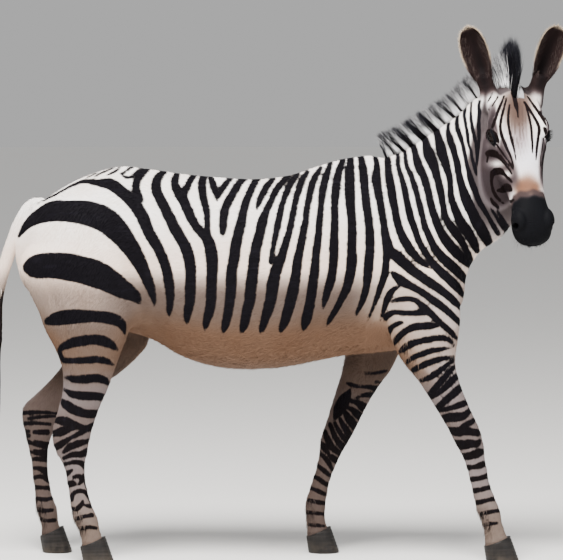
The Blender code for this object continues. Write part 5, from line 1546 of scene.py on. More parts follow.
def coat_finish(name, hair):
    """The coat's material: stripes from their signed distance, roughened by the lie of the hair."""
    made = Finish(name)
    along_body = made.noise(60, 3, (0.16, 1.0, 1.0), 0.6)
    down_leg = made.noise(60, 3, (1.0, 1.0, 0.16), 0.6)
    fine_body = made.noise(420, 2, (0.10, 1.0, 1.0), 0.6)
    fine_down = made.noise(420, 2, (1.0, 1.0, 0.10), 0.6)
    lie = made.attribute("down")
    streak = made.blend(lie, along_body, down_leg)
    fine = made.blend(lie, fine_body, fine_down)
    ragged = made.math("MULTIPLY_ADD", streak, 2.0, -1.0)
    edge = made.math("ADD", made.attribute("stripe"), made.math("MULTIPLY_ADD", fine, 1.4, -0.7))
    ink = made.span(made.math("ADD", edge, ragged), 0.6, -0.6)
    cloudy = made.noise(7, 3, (1, 1, 1), 0.6)
    light = made.attribute("light", "Color")
    light = made.blend(made.span(cloudy, 0.35, 0.75, 0.0, 0.5), light, (0.88, 0.80, 0.72), "MULTIPLY")
    light = made.blend(made.span(fine, 0.30, 0.80, 0.0, 0.4), light, (0.80, 0.73, 0.68), "MULTIPLY")
    dark = made.attribute("dark", "Color")
    dark = made.blend(made.span(streak, 0.5, 0.8, 0.0, 0.6), dark, (0.008, 0.007, 0.011))
    colour = made.blend(ink, light, dark)
    made.set(Base_Color=colour, Roughness=0.7, Specular_IOR_Level=0.05)
    if not hair:
        made.set(Normal=made.bump(fine, 0.0005, 0.8, made.bump(streak, 0.0009, 0.6)))
    return made.material


def hair_finish():
    """Mane and tail: bands from the stripes, darkening to smoky tips."""
    made = Finish("long_hair_coat")
    strand = made.attribute("strand")
    edge = made.math("ADD", made.attribute("stripe"), made.math("MULTIPLY_ADD", strand, 2.4, -1.2))
    ink = made.span(edge, 0.9, -0.9)
    colour = made.blend(ink, made.attribute("light", "Color"), made.attribute("dark", "Color"))
    tips = made.math("ADD", made.attribute("along"), made.math("MULTIPLY_ADD", strand, 0.35, -0.18))
    smoke = made.math("MULTIPLY", made.span(tips, 0.30, 0.88), made.attribute("smoke"))
    colour = made.blend(smoke, colour, (0.0075, 0.0075, 0.0115))
    streak = made.noise(300, 2, (1, 1, 0.2))
    colour = made.blend(made.span(streak, 0.3, 0.8, 0.0, 0.35), colour, (0.74, 0.71, 0.70), "MULTIPLY")
    made.set(Base_Color=colour, Roughness=0.5, Specular_IOR_Level=0.10)
    return made.material


def horn_finish():
    made = Finish("worn_horn")
    rings = made.noise(26, 3, (0.15, 0.15, 6.0), 0.6)
    grain = made.noise(160, 3, (1.0, 1.0, 0.08), 0.6)
    patches = made.noise(22, 4, (1, 1, 1), 0.6)
    colour = made.blend(made.span(rings, 0.35, 0.7), (0.0055, 0.0048, 0.0048), (0.0150, 0.0125, 0.0115))
    colour = made.blend(made.span(grain, 0.45, 0.75, 0.0, 0.25), colour, (0.030, 0.025, 0.021))
    split = made.add("ShaderNodeSeparateXYZ")
    made.link(made.add("ShaderNodeTexCoord").outputs["Object"], split.inputs[0])
    dust = made.math("MULTIPLY", made.span(split.outputs["Z"], 0.055, 0.0), made.span(patches, 0.35, 0.65))
    colour = made.blend(made.math("MULTIPLY", dust, 0.35), colour, (0.10, 0.078, 0.058))
    worn = made.span(patches, 0.3, 0.7, 0.38, 0.62)
    made.set(Base_Color=colour, Roughness=worn, Specular_IOR_Level=0.22)
    made.set(Normal=made.bump(grain, 0.0002, 0.5, made.bump(rings, 0.0010, 0.6)))
    return made.material


def eye_finish():
    made = Finish("wet_eye")
    fleck = made.noise(420, 3)
    iris = made.blend(made.span(fleck, 0.3, 0.75), (0.0060, 0.0030, 0.0018), (0.0170, 0.0080, 0.0040))
    colour = made.blend(made.span(made.attribute("pupil"), 0.96, 1.06), (0.0012, 0.0012, 0.0016), iris)
    colour = made.blend(made.span(made.attribute("iris"), 0.90, 1.02), colour, (0.0060, 0.0042, 0.0040))
    made.set(Base_Color=colour, Roughness=0.07, Specular_IOR_Level=0.14)
    return made.material


def lid_finish():
    made = Finish("moist_lid")
    grain = made.noise(300, 3)
    colour = made.blend(made.span(grain, 0.3, 0.7), (0.0028, 0.0022, 0.0024), (0.0075, 0.0055, 0.0055))
    made.set(Base_Color=colour, Roughness=0.42, Specular_IOR_Level=0.2)
    made.set(Normal=made.bump(grain, 0.0004, 0.6))
    return made.material


def build_eye(side, finish):
    """The eyeball, a little fuller at the cornea, with a level pupil."""
    frame = eye_frame(1 if side == "left" else -1)
    bm = bmesh.new()
    bmesh.ops.create_uvsphere(bm, u_segments=48, v_segments=28, radius=EYE_RADIUS)
    bmesh.ops.rotate(bm, verts=bm.verts, matrix=Matrix.Rotation(math.radians(-90), 3, "X"))
    for v in bm.verts:
        away = math.hypot(v.co.x, v.co.z)
        if v.co.y > 0:
            v.co.y += 0.0009 * max(0.0, 1 - (away / 0.014) ** 2)
    bmesh.ops.recalc_face_normals(bm, faces=bm.faces)
    mesh = finish_mesh(bm, "eye")
    points = read(mesh)[0]
    # Iris and pupil lie on the outer half only.
    out = np.where(points[:, 1] > 0, 1.0, 9.0)
    ring = np.hypot(points[:, 0], points[:, 2]) / 0.0165 * out
    pupil = np.hypot(points[:, 0] / 0.0105, points[:, 2] / 0.0058) * out
    add_values(mesh, {"iris": ring, "pupil": pupil})
    write(mesh, shift(out_of(frame, points)))
    if frame.to_3x3().determinant() < 0:
        mesh.flip_normals()
    return piece("eyeball_" + side, mesh, finish, ["eye_" + side])


def build_lids(side, finish, tree):
    """The dark moist rims of the lids, along the edge of the skin's opening, and the lashes of the upper one."""
    frame = eye_frame(1 if side == "left" else -1)
    around, ring = 48, []
    for a in angles(around):
        x = OPENING_LENGTH / 2 * 1.02 * math.cos(a)
        droop = 1.0 if math.sin(a) > 0 else 0.72
        z = OPENING_HEIGHT / 2 * 1.02 * droop * power(math.sin(a), 1.25) + 0.10 * x
        ring.append(tree.find_nearest(frame @ Vector((x, EYE_RADIUS + 0.004, z)))[0])
    for _ in range(2):
        ring = [(ring[k - 1] + ring[k] * 2 + ring[(k + 1) % around]) / 4 for k in range(around)]
    centre = sum(ring, Vector()) / around
    bm = bmesh.new()
    rows = []
    for k, place in enumerate(ring):
        ahead = (ring[(k + 1) % around] - ring[k - 1]).normalized()
        out = (place - centre).normalized()
        up = ahead.cross(out).normalized()
        out = up.cross(ahead)
        rows.append([bm.verts.new(place + (out * math.cos(a) + up * math.sin(a)) * 0.0013) for a in angles(8)])
    for k, row in enumerate(rows):
        other = rows[(k + 1) % around]
        for j in range(8):
            bm.faces.new((row[j], row[(j + 1) % 8], other[(j + 1) % 8], other[j]))
    bmesh.ops.recalc_face_normals(bm, faces=bm.faces)
    mesh = finish_mesh(bm, "lids")
    mesh.transform(Matrix.Translation(-MIDDLE))
    piece("lid_rim_" + side, mesh, finish)
    # Lashes, longest over the middle of the eye.
    draw = np.random.default_rng(51)
    out, brow = column(frame, 1), column(frame, 2)
    count = 60
    turn = draw.uniform(0.12, 0.88, count) * math.pi
    k = np.clip((turn / (2 * math.pi) * around).astype(int), 0, around - 1)
    roots = np.array(ring)[k] + out[None] * 0.0006
    ways = unit(out[None] + brow[None] * 0.10 + draw.normal(0, 0.14, (count, 3)))
    bends = all_alike(brow * 0.45, count)
    lines = curved(roots, ways, bends, 0.013 * (0.6 + 0.4 * np.sin(turn)) * draw.uniform(0.8, 1.1, count), 3)
    half = all_alike((0.00030, 0.00028, 0.00020), count)
    along = unit(all_alike(column(frame, 0), count))
    patch = chart(turn / 3.2, turn * 0)
    strands("lashes_" + side, lines, half, along, unit(np.cross(along, ways)), {}, patch, finish)


def build_hoof(leg, finish):
    """A hoof with growth rings and a rounded edge, cut along the coronet."""
    sole_back, sole_front, back, front, side = HOOVES[leg]
    slope_back, slope_front = (back - sole_back) / CORONET_BACK, (front - sole_front) / CORONET_FRONT
    slope_width = (CORONET_HALF_WIDTH - HOOF_HALF_WIDTH) / CORONET_FRONT
    rings = []
    heights = [0.0, 0.0015, 0.004] + [0.006 + 0.104 * k / 40 for k in range(41)]
    for z in heights:
        level = max(z, 0.006)
        low, high = sole_back + slope_back * level, sole_front + slope_front * level
        half_width = HOOF_HALF_WIDTH + slope_width * level
        draw_in = 0.0035 * max(0.0, 1 - z / 0.006) ** 2
        ridge = 0.0007 * math.sin(z * 620) + 0.0005 * math.sin(z * 1130 + 1)
        ring = []
        for a in angles(56):
            wave = ridge * (0.4 + 0.6 * max(0.0, math.cos(a))) - draw_in - 0.0005
            narrow = 1.0 - 0.16 * max(0.0, -math.cos(a)) ** 2
            reach = math.cos(a) * ((high - low) / 2 + wave)
            heel = 0.006 * math.exp(-((abs(a - math.pi) / 0.20) ** 2)) if math.cos(a) < 0 else 0.0
            aside = side + (half_width + wave) * narrow * power(math.sin(a), 0.92)
            ring.append(((low + high) / 2 + reach + heel, aside, z))
        rings.append(ring)
    bm = bmesh.new()
    add_tube(bm, rings)
    slope = math.atan2(CORONET_FRONT - CORONET_BACK, front - back)
    normal = Vector((-math.sin(slope), 0.0, math.cos(slope)))
    every = bm.verts[:] + bm.edges[:] + bm.faces[:]
    at = (back, 0.0, CORONET_BACK - 0.0006)
    bmesh.ops.bisect_plane(bm, geom=every, plane_co=at, plane_no=normal, clear_outer=True)
    rim = [edge for edge in bm.edges if edge.is_boundary]
    middle = sum((edge.verts[0].co for edge in rim), Vector()) / len(rim)
    for inward, up in ((0.0010, 0.0010), (0.0018, 0.0006), (0.0040, 0.0)):
        grown = bmesh.ops.extrude_edge_only(bm, edges=rim)["geom"]
        rim = [part for part in grown if isinstance(part, bmesh.types.BMEdge)]
        for vert in (part for part in grown if isinstance(part, bmesh.types.BMVert)):
            way = middle - vert.co
            way -= normal * way.dot(normal)
            vert.co += way.normalized() * inward + normal * up
    bmesh.ops.holes_fill(bm, edges=rim)
    bmesh.ops.recalc_face_normals(bm, faces=bm.faces)
    mesh = finish_mesh(bm, "hoof")
    mesh.transform(Matrix.Translation(-MIDDLE))
    thing = piece("hoof_" + leg, mesh, finish, [leg + "_hoof"])
    mesh.set_sharp_from_angle(angle=math.radians(50))
    return thing


def strands(name, lines, half, side, lift, values, patch, finish):
    """Closed, tapering, three-sided strands as one mesh.

    Lines are rows of points from root to tip, half the half width at each point but the tip, side
    and lift the directions across and out. A value is a number or a colour for each strand, or two
    numbers for its root and tip. Patch gives each root's place on the skin's unwrap.
    """
    count, rows = lines.shape[:2]
    rings = rows - 1
    corners = ((1.0, -0.25), (0.0, 0.55), (-1.0, -0.25))
    verts = np.empty((count, rings * 3 + 1, 3))
    for r in range(rings):
        for c, (across, out) in enumerate(corners):
            verts[:, r * 3 + c] = lines[:, r] + (side * across + lift * out) * half[:, r, None]
    verts[:, -1] = lines[:, -1]
    faces = [(0, 2, 1)]
    for r in range(rings - 1):
        for c in range(3):
            a, b = r * 3 + c, r * 3 + (c + 1) % 3
            faces += [(a, b, b + 3), (a, b + 3, a + 3)]
    for c in range(3):
        faces.append(((rings - 1) * 3 + c, (rings - 1) * 3 + (c + 1) % 3, rings * 3))
    faces = np.array(faces)
    turn = np.einsum("ij,ij->i", np.cross(side, lift), lines[:, 1] - lines[:, 0]) > 0
    step = rings * 3 + 1
    every = faces[None] + (np.arange(count) * step)[:, None, None]
    every[turn] = every[turn][:, :, ::-1]
    mesh = bpy.data.meshes.new(name)
    total = count * len(faces)
    mesh.vertices.add(count * step)
    mesh.vertices.foreach_set("co", shift(verts.reshape(-1, 3)).astype(np.float32).ravel())
    mesh.loops.add(total * 3)
    mesh.loops.foreach_set("vertex_index", every.astype(np.int32).ravel())
    mesh.polygons.add(total)
    mesh.polygons.foreach_set("loop_start", np.arange(0, total * 3, 3, dtype=np.int32))
    mesh.update(calc_edges=True)
    levels = np.concatenate([np.repeat(np.arange(rings), 3), [rings]]) / rings
    spread = {}
    for key, own in values.items():
        if own.shape[1:] == (2,):
            spread[key] = (own[:, :1] + (own[:, 1:] - own[:, :1]) * levels).ravel()
        else:
            spread[key] = np.repeat(own, step, axis=0)
    spread["along"] = np.tile(levels, count)
    add_values(mesh, spread)
    bits = np.array([(math.cos(2.4 * k), math.sin(2.4 * k)) for k in range(step)]) * 0.0015
    flat = (np.repeat(patch, step, axis=0) + np.tile(bits, (count, 1)))[every.reshape(-1)]
    layer = mesh.uv_layers.new(name="OFBake")
    layer.data.foreach_set("uv", flat.astype(np.float32).ravel())
    thing = piece(name, mesh, finish)
    # A tuft of one ring shaded smooth would show dark specks.
    if rings == 1:
        mesh.shade_flat()
    return thing


HAIR_WHITE = (0.94, 0.94, 0.96)


def unit(rows):
    return rows / np.maximum(np.linalg.norm(rows, axis=1), 1e-9)[:, None]


def chart(across, along):
    """A place on the unwrap of the skin under a piece of hair."""
    return np.stack([np.clip(across, 0.0, 1.0), np.clip(along, 0.0, 1.0)], 1) * 0.94 + 0.03


def crest_rows(count):
    """Along the crest: place, ahead, sideways, the way that the hair stands, and its length."""
    rows = through(MANE_LINE, count)
    place = rows[:, :3]
    ahead = unit(np.gradient(place, axis=0))
    plan = unit(ahead * (1, 1, 0))
    lean = np.radians(rows[:, 4])[:, None]
    hair = np.array((0.0, 0.0, 1.0)) * np.cos(lean) - plan * np.sin(lean)
    side = np.stack([-plan[:, 1], plan[:, 0], np.zeros(count)], 1)
    return place, ahead, side, hair, rows[:, 3]


def curved(roots, ways, bends, lengths, rings):
    """Lines from root to tip that start along their way and bend."""
    t = np.linspace(0.0, 1.0, rings + 1)[None, :, None]
    return roots[:, None] + (ways[:, None] * t + bends[:, None] * t * t) * lengths[:, None, None]


def on_skin(tree, places):
    """The nearest spots on the skin, and the ways out of it there."""
    found = [tree.find_nearest(Vector(place))[:2] for place in places]
    return np.array([root for root, _ in found]), np.array([up for _, up in found])


def crest_roots(tree, crest, at, across, spread):
    """Roots a little under the skin, by their place along the crest and aside of it."""
    place, side, hair = crest[0], crest[2], crest[3]
    k = at.astype(int)
    roots = place[k] + (place[k + 1] - place[k]) * (at - k)[:, None] + side[k] * (across * spread)[:, None]
    return k, on_skin(tree, roots)[0] - hair[k] * 0.003


def all_alike(colour, count):
    return np.tile(np.array(colour), (count, 1))


# Half widths of a strand of mane or forelock from its root, and the number of stations along the crest.
STRAND = np.array((0.0010, 0.0009, 0.0008, 0.0006))[None]
STATIONS = 600


def build_mane(tree, finish):
    """The upright mane along the crest, banded as the neck is, with dark tips."""
    draw = np.random.default_rng(31)
    crest = crest_rows(STATIONS)
    place, ahead, side, hair, length = crest
    last = int(np.argmin(np.abs(place[:, 0] - MANE_SPLIT)))
    count = 9000
    at = draw.uniform(0, last, count)
    across = np.clip(draw.normal(0, 0.55, count), -1, 1)
    k, roots = crest_roots(tree, crest, at, across, 0.013)
    clump = np.sin(at * 0.41 + 2.0 * np.sin(at * 0.083)) * 0.05 + np.sin(at * 0.93 + 1.0) * 0.03
    ways = hair[k] + side[k] * (across * 0.16 + draw.normal(0, 0.05, count))[:, None]
    ways = unit(ways + ahead[k] * (clump * 0.4 + draw.normal(0, 0.05, count))[:, None])
    bends = ahead[k] * (clump - 0.05)[:, None] - side[k] * (across * 0.06)[:, None]
    lengths = length[k] * draw.uniform(0.80, 1.04, count) * (1 - 0.25 * across**2) * (1 + 0.05 * np.sin(at * 0.21))
    lengths = lengths * (0.55 + 0.45 * smoothstep(0, 14, at))
    lines = curved(roots, ways, bends, lengths, 4)
    half = STRAND * draw.uniform(0.75, 1.25, (count, 1))
    smoke = 1.0 - 0.35 * smoothstep(0.1, 0.9, draw.uniform(0, 1, count))
    values = {
        # The bands stand a little before and above the neck's stripes.
        "stripe": from_stripes(seen(roots) + np.array((1.5, 4.0)), FLANK_STRIPES),
        "light": all_alike(HAIR_WHITE, count),
        "dark": all_alike(BLACK, count),
        "strand": draw.uniform(0, 1, count),
        "smoke": smoke,
    }
    patch = chart(at / last, 0.5 + across * 0.4)
    lift = unit(np.cross(ways, side[k]))
    thing = strands("mane_hair", lines, half, lift, side[k], values, patch, finish)
    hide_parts("mane")


def build_forelock(tree, finish):
    """The tall black lock between the ears, with white hair at its sides."""
    draw = np.random.default_rng(32)
    crest = crest_rows(STATIONS)
    place, _, side, hair, length = crest
    first = int(np.argmin(np.abs(place[:, 0] - MANE_SPLIT)))
    count = 4200
    at = first + (STATIONS - 2 - first) * draw.uniform(0, 1, count)
    across = np.clip(draw.normal(0, 0.6, count), -1, 1)
    k, roots = crest_roots(tree, crest, at, across, 0.021)
    drawn = seen(roots)
    middle = 513.5 + draw.normal(0, 1.1, count)
    black = (np.abs(drawn[:, 0] - middle) < 4.6) & (place[k, 0] > 0.69)
    # The black strands lean together.
    pull = np.where(black, np.clip(0.7355 - roots[:, 0], -0.02, 0.02) * 4.0, 0.0)
    ways = hair[k] - side[k] * (across * 0.10)[:, None] + draw.normal(0, 0.035, (count, 3))
    ways[:, 0] += pull
    ways = unit(ways)
    bends = -side[k] * (across * 0.08)[:, None] + draw.normal(0, 0.025, (count, 3))
    lengths = length[k] * draw.uniform(0.74, 1.0, count) * (1 - 0.42 * np.abs(across) ** 1.5)
    lengths = np.where(black, lengths * 1.10, lengths * np.where(drawn[:, 0] > 518, 0.30, 0.86))
    lines = curved(roots, ways, bends, lengths, 4)
    half = STRAND * draw.uniform(0.75, 1.25, (count, 1))
    dark_strand = (draw.uniform(0, 1, count) < 0.16) & (drawn[:, 0] < 512)
    values = {
        "stripe": np.where(black | dark_strand, DEEP, FAR),
        "light": all_alike(HAIR_WHITE, count),
        "dark": all_alike(BLACK, count),
        "strand": draw.uniform(0, 1, count),
        "smoke": np.where(drawn[:, 0] > 518, 0.1, 0.80 + 0.15 * np.sin(drawn[:, 0] * 1.3)),
    }
    patch = chart((at - first) / (STATIONS - first), 0.5 + across * 0.4)
    lift = unit(np.cross(ways, side[k]))
    thing = strands("forelock_hair", lines, half, lift, side[k], values, patch, finish)
    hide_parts("forelock")


# Half width of the tail's brush at each height.
BRUSH_SPREAD = (
    *((0.900, 0.016), (0.830, 0.018), (0.760, 0.026), (0.680, 0.031)),
    *((0.580, 0.030), (0.480, 0.022), (0.370, 0.005)),
)


def build_tail_hair(finish):
    """The long dark hair of the tail's end, hanging round the dock."""
    draw = np.random.default_rng(33)
    count, rings = 3000, 6
    start = 0.900 - 0.20 * draw.uniform(0, 1, count) ** 1.3
    reach = draw.uniform(0, 1, count) ** 0.7
    end = np.minimum(start - 0.16, 0.64 + (BRUSH_END.z - 0.64) * reach)
    t = np.linspace(0.0, 1.0, rings + 1)[None]
    z = start[:, None] + (end - start)[:, None] * t
    track = np.concatenate([np.array(DOCK)[2:], np.array(BRUSH_CORE)[1:], [(*BRUSH_END, 0.0)]])[::-1]
    middle = np.interp(z, track[:, 2], track[:, 0])
    spread = np.array(BRUSH_SPREAD)[::-1]
    wide = np.interp(z, spread[:, 0], spread[:, 1])
    turn = draw.uniform(0, 2 * np.pi, count)
    lock = np.round(turn / 0.42) * 0.42
    turns = turn[:, None] + (lock - turn)[:, None] * 0.55 * t + draw.normal(0, 0.10, (count, 1)) * t
    out = np.sqrt(draw.uniform(0.15, 1, count))[:, None] * (0.75 + 0.25 * np.sin(lock * 7)[:, None])
    out = 1.0 + (out - 1.0) * smoothstep(0.0, 0.25, t)
    lines = np.stack([middle + wide * out * np.cos(turns), wide * out * np.sin(turns), z], 2)
    half = np.array((0.0011, 0.0013, 0.0013, 0.0012, 0.0010, 0.0007))[None] * draw.uniform(0.7, 1.3, (count, 1))
    away = np.stack([np.cos(turn), np.sin(turn), np.zeros(count)], 1)
    round_it = np.stack([-np.sin(turn), np.cos(turn), np.zeros(count)], 1)
    pale = (start > 0.86) & (draw.uniform(0, 1, count) < 0.35)
    values = {
        "stripe": np.where(pale, -DEEP, DEEP),
        "light": all_alike(CREAM, count) * 0.7,
        "dark": all_alike(BROWN_BLACK, count),
        "strand": draw.uniform(0, 1, count),
        "smoke": np.full(count, 0.4),
    }
    patch = chart(turn / (2 * np.pi), (start - 0.69) / 0.22)
    thing = strands("tail_hair", lines, half, round_it, away, values, patch, finish)
    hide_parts("tail_brush")


# The parts of the coat: tufts for each square metre, length of hair, half width, and rise of the tip.
COAT = {
    "haunch": (52000, 0.0150, 0.00105, 0.13),
    "barrel": (52000, 0.0150, 0.00105, 0.13),
    "shoulder": (56000, 0.0140, 0.00100, 0.13),
    "neck": (62000, 0.0130, 0.00095, 0.14),
    "head": (150000, 0.0066, 0.00058, 0.06),
    "forelegs": (80000, 0.0105, 0.00080, 0.13),
    "hindlegs": (80000, 0.0105, 0.00080, 0.13),
    "tail": (80000, 0.0120, 0.00080, 0.16),
}

# The most tufts in one piece.
MOST_TUFTS = 49900

# The line round which the neck's coat is laid out.
NECK_FOOT, NECK_TOP = np.array((0.400, 0.0, 1.080)), np.array((0.735, -0.110, 1.400))


def part_of_coat(points):
    """The name of the coat's part that each point is in, as an index."""
    names = list(COAT)
    x, y, z = points.T
    part = np.full(len(points), names.index("barrel"))
    part[x < -0.40] = names.index("haunch")
    part[x > 0.12] = names.index("shoulder")
    part[(x > 0.36) & (z + 0.9 * (x - 0.36) > 1.16)] = names.index("neck")
    part[(z < 0.58) & (x > -0.2)] = names.index("forelegs")
    part[(z < 0.58) & (x < -0.2)] = names.index("hindlegs")
    part[head_share(points) > 0.5] = names.index("head")
    tail = (x < -0.800) & (np.abs(y) < 0.035) & (z > 0.70) & (x < tail_front(z))
    part[tail] = names.index("tail")
    return part


def tail_front(z):
    """How far forward the tail reaches at each height."""
    rows = np.array(DOCK)[::-1]
    return np.interp(z, rows[:, 2], rows[:, 0] + rows[:, 3] * 1.15)


def leg_middles(points):
    """The leg that each low point is in, with the middle of that leg at its height."""
    x, y, z = points.T
    middle, aside = np.zeros(len(points)), np.zeros(len(points))
    which = np.zeros(len(points), int)
    best = np.full(len(points), 9.0)
    for n, leg in enumerate(LEGS):
        low = np.array(LEGS[leg])[::-1]
        centre, side = leg_breadth(leg, z)[0], np.interp(z, low[:, 0], low[:, 3])
        away = np.hypot(x - centre, y - side)
        near = away < best
        best[near], middle[near], aside[near], which[near] = away[near], centre[near], side[near], n
    return which, middle, aside


def unwrapped(part, points):
    """Where a root lies on the unwrap of its part of the skin, from 0 to 1."""
    name = list(COAT)[part]
    x, y, z = points.T
    if name in ("forelegs", "hindlegs"):
        which, middle, aside = leg_middles(points)
        round_it = np.arctan2(y - aside, x - middle) / (2 * np.pi) + 0.5
        return np.stack([(round_it * 0.92 + 0.04 + which % 2) / 2, z / 0.60 * 0.92 + 0.04], 1)
    if name == "tail":
        return np.stack([np.arctan2(y, x - tail_front(z) + 0.02) / 6.4 + 0.5, (z - 0.70) / 0.50], 1)
    if name == "head":
        local = into(head_frame(), points)
        round_it = np.arctan2(local[:, 1], local[:, 2] + 0.065) / (2 * np.pi) + 0.5
        flat = np.stack([round_it * 0.6 + 0.02, local[:, 0] / 0.60 * 0.92 + 0.12], 1)
        for n, side in enumerate(("left", "right")):
            ear = into(ear_frame(side), points)
            on_it = (np.abs(ear[:, 0]) < 0.07) & (np.abs(ear[:, 1]) < 0.07) & (ear[:, 2] > EAR_ROOT_HEIGHT)
            turn = np.arctan2(ear[:, 1], ear[:, 0]) / (2 * np.pi) + 0.5
            there = np.stack([turn * 0.32 + 0.66, (ear[:, 2] / 0.24 + n) * 0.46 + 0.03], 1)
            flat[on_it] = there[on_it]
        return flat
    if name == "neck":
        axis = unit((NECK_TOP - NECK_FOOT)[None])[0]
        along = (points - NECK_FOOT) @ axis
        up = unit(np.cross(axis, (0.0, 1.0, 0.0))[None])[0]
        out = points - NECK_FOOT - along[:, None] * axis
        round_it = np.arctan2(out @ np.cross(axis, up), out @ up) / (2 * np.pi) + 0.5
        return np.stack([round_it, along / 0.60 + 0.25], 1)
    start, length = {"haunch": (-0.90, 0.52), "barrel": (-0.42, 0.56), "shoulder": (0.10, 0.50)}[name]
    round_it = np.arctan2(y, z - 0.92) / (2 * np.pi) + 0.5
    return np.stack([round_it, (x - start) / length], 1)


def turned(flow, normals, angle):
    """The flow turned by an angle within the skin."""
    return flow * np.cos(angle)[:, None] + np.cross(normals, flow) * np.sin(angle)[:, None]


def lie_of_hair(points, normals):
    """The way that the hair lies at each point, along the skin."""
    x, y, z = points.T

    def turn(flow, way, share):
        return flow + (np.array(way) - flow) * share[:, None]

    flow = np.tile(np.array((-1.0, 0.0, -0.20)), (len(points), 1))
    flow = turn(flow, (-0.45, 0.0, -0.9), smoothstep(-0.42, -0.66, x) * smoothstep(1.22, 1.10, z))
    flow = turn(flow, (-0.05, 0.0, -1.0), smoothstep(-0.68, -0.78, x) * smoothstep(1.15, 1.05, z))
    flow = turn(flow, (-0.35, 0.0, -0.94), smoothstep(0.26, 0.42, x) * smoothstep(1.25, 1.05, z))
    flow = turn(flow, (-0.66, 0.10, -0.74), smoothstep(0.36, 0.52, x) * smoothstep(1.00, 1.12, z))
    legs = np.maximum(smoothstep(0.62, 0.54, z), smoothstep(0.86, 0.66, z) * ((x < -0.44) | (x > 0.27)))
    flow = turn(flow, (0.0, 0.0, -1.0), legs)
    tail = part_of_coat(points) == list(COAT).index("tail")
    flow[tail] = (-0.15, 0.0, -1.0)
    frame = head_frame()
    local = into(frame, points)
    head = head_share(points)
    spread = np.clip(local[:, 1] / 0.07, -1, 1) * smoothstep(0.20, 0.02, local[:, 0]) * 0.5
    face = column(frame, 0)[None] + column(frame, 1)[None] * spread[:, None]
    flow = flow + (face - flow) * head[:, None]
    for side in ("left", "right"):
        ear = into(ear_frame(side), points)
        near = (np.abs(ear[:, 0]) < 0.06) & (np.abs(ear[:, 1]) < 0.065)
        flow = turn(flow, column(ear_frame(side), 2), near * smoothstep(-0.01, 0.04, ear[:, 2]))
    swirl = 0.20 * np.sin(x * 23 + 4 * np.sin(z * 9) + y * 11) * (1 - head)
    flow = flow - normals * np.einsum("ij,ij->i", flow, normals)[:, None]
    return unit(turned(unit(flow), normals, swirl))


# The slits of the nostrils on one side of the head: from, to, and how far round them no hair grows.
NOSTRILS = (
    ((0.500, 0.088, -0.064), (0.462, 0.055, -0.052), 0.0150),
    ((0.462, 0.055, -0.052), (0.444, 0.044, -0.054), 0.010),
)


def left_bare(points):
    """True inside the lids, the nostrils and the mouth, and at the hoofs, where no coat grows."""
    bare = points[:, 2] < 0.052
    for side in (1, -1):
        eye = into(eye_frame(side), points)
        slit = (eye[:, 0] / (OPENING_LENGTH / 2)) ** 2 + (eye[:, 2] / (OPENING_HEIGHT / 2)) ** 2
        ball = np.linalg.norm(eye, axis=1)
        bare |= (ball < EYE_RADIUS + 0.0012) | ((slit < 1.15) & (eye[:, 1] > 0.0) & (ball < 0.05))
    local = into(head_frame(), points)
    local[:, 1] = np.abs(local[:, 1])
    for a, b, reach in NOSTRILS:
        line = np.array(b) - np.array(a)
        t = np.clip(((local - np.array(a)) @ line) / (line @ line), 0, 1)
        bare |= np.linalg.norm(local - np.array(a) - t[:, None] * line, axis=1) < reach
    turn = np.radians(np.linspace(0, 90, 13))
    lips = np.stack([0.415 + 0.104 * np.cos(turn) ** 0.8, 0.062 * np.sin(turn), -0.104 + 0.010 * np.cos(turn)], 1)
    for lip in lips:
        bare |= np.linalg.norm(local - lip, axis=1) < 0.0060
    return bare


def stripe_at(points, normals, near):
    """The stripes' exact distance at each point, or the skin's own where that is another part's."""
    exact = stripe_values(points, normals)
    return np.where(np.abs(exact - near) < 4.0, exact, near)


def areas(corners):
    return np.linalg.norm(np.cross(corners[:, 1] - corners[:, 0], corners[:, 2] - corners[:, 0]), axis=1) / 2


def sown(draw, corners, points, normals, marks):
    """A random place on each of the faces given by their corners, the way out there, and the marks."""
    a, b = draw.uniform(0, 1, (2, len(corners)))
    over = a + b > 1
    a[over], b[over] = 1 - a[over], 1 - b[over]
    share = np.stack([1 - a - b, a, b], 1)[:, :, None]
    own = {
        key: (rows[corners] * (share if rows.ndim == 2 else share[:, :, 0])).sum(1)
        for key, rows in marks.items()
    }
    return (points[corners] * share).sum(1), unit((normals[corners] * share).sum(1)), own


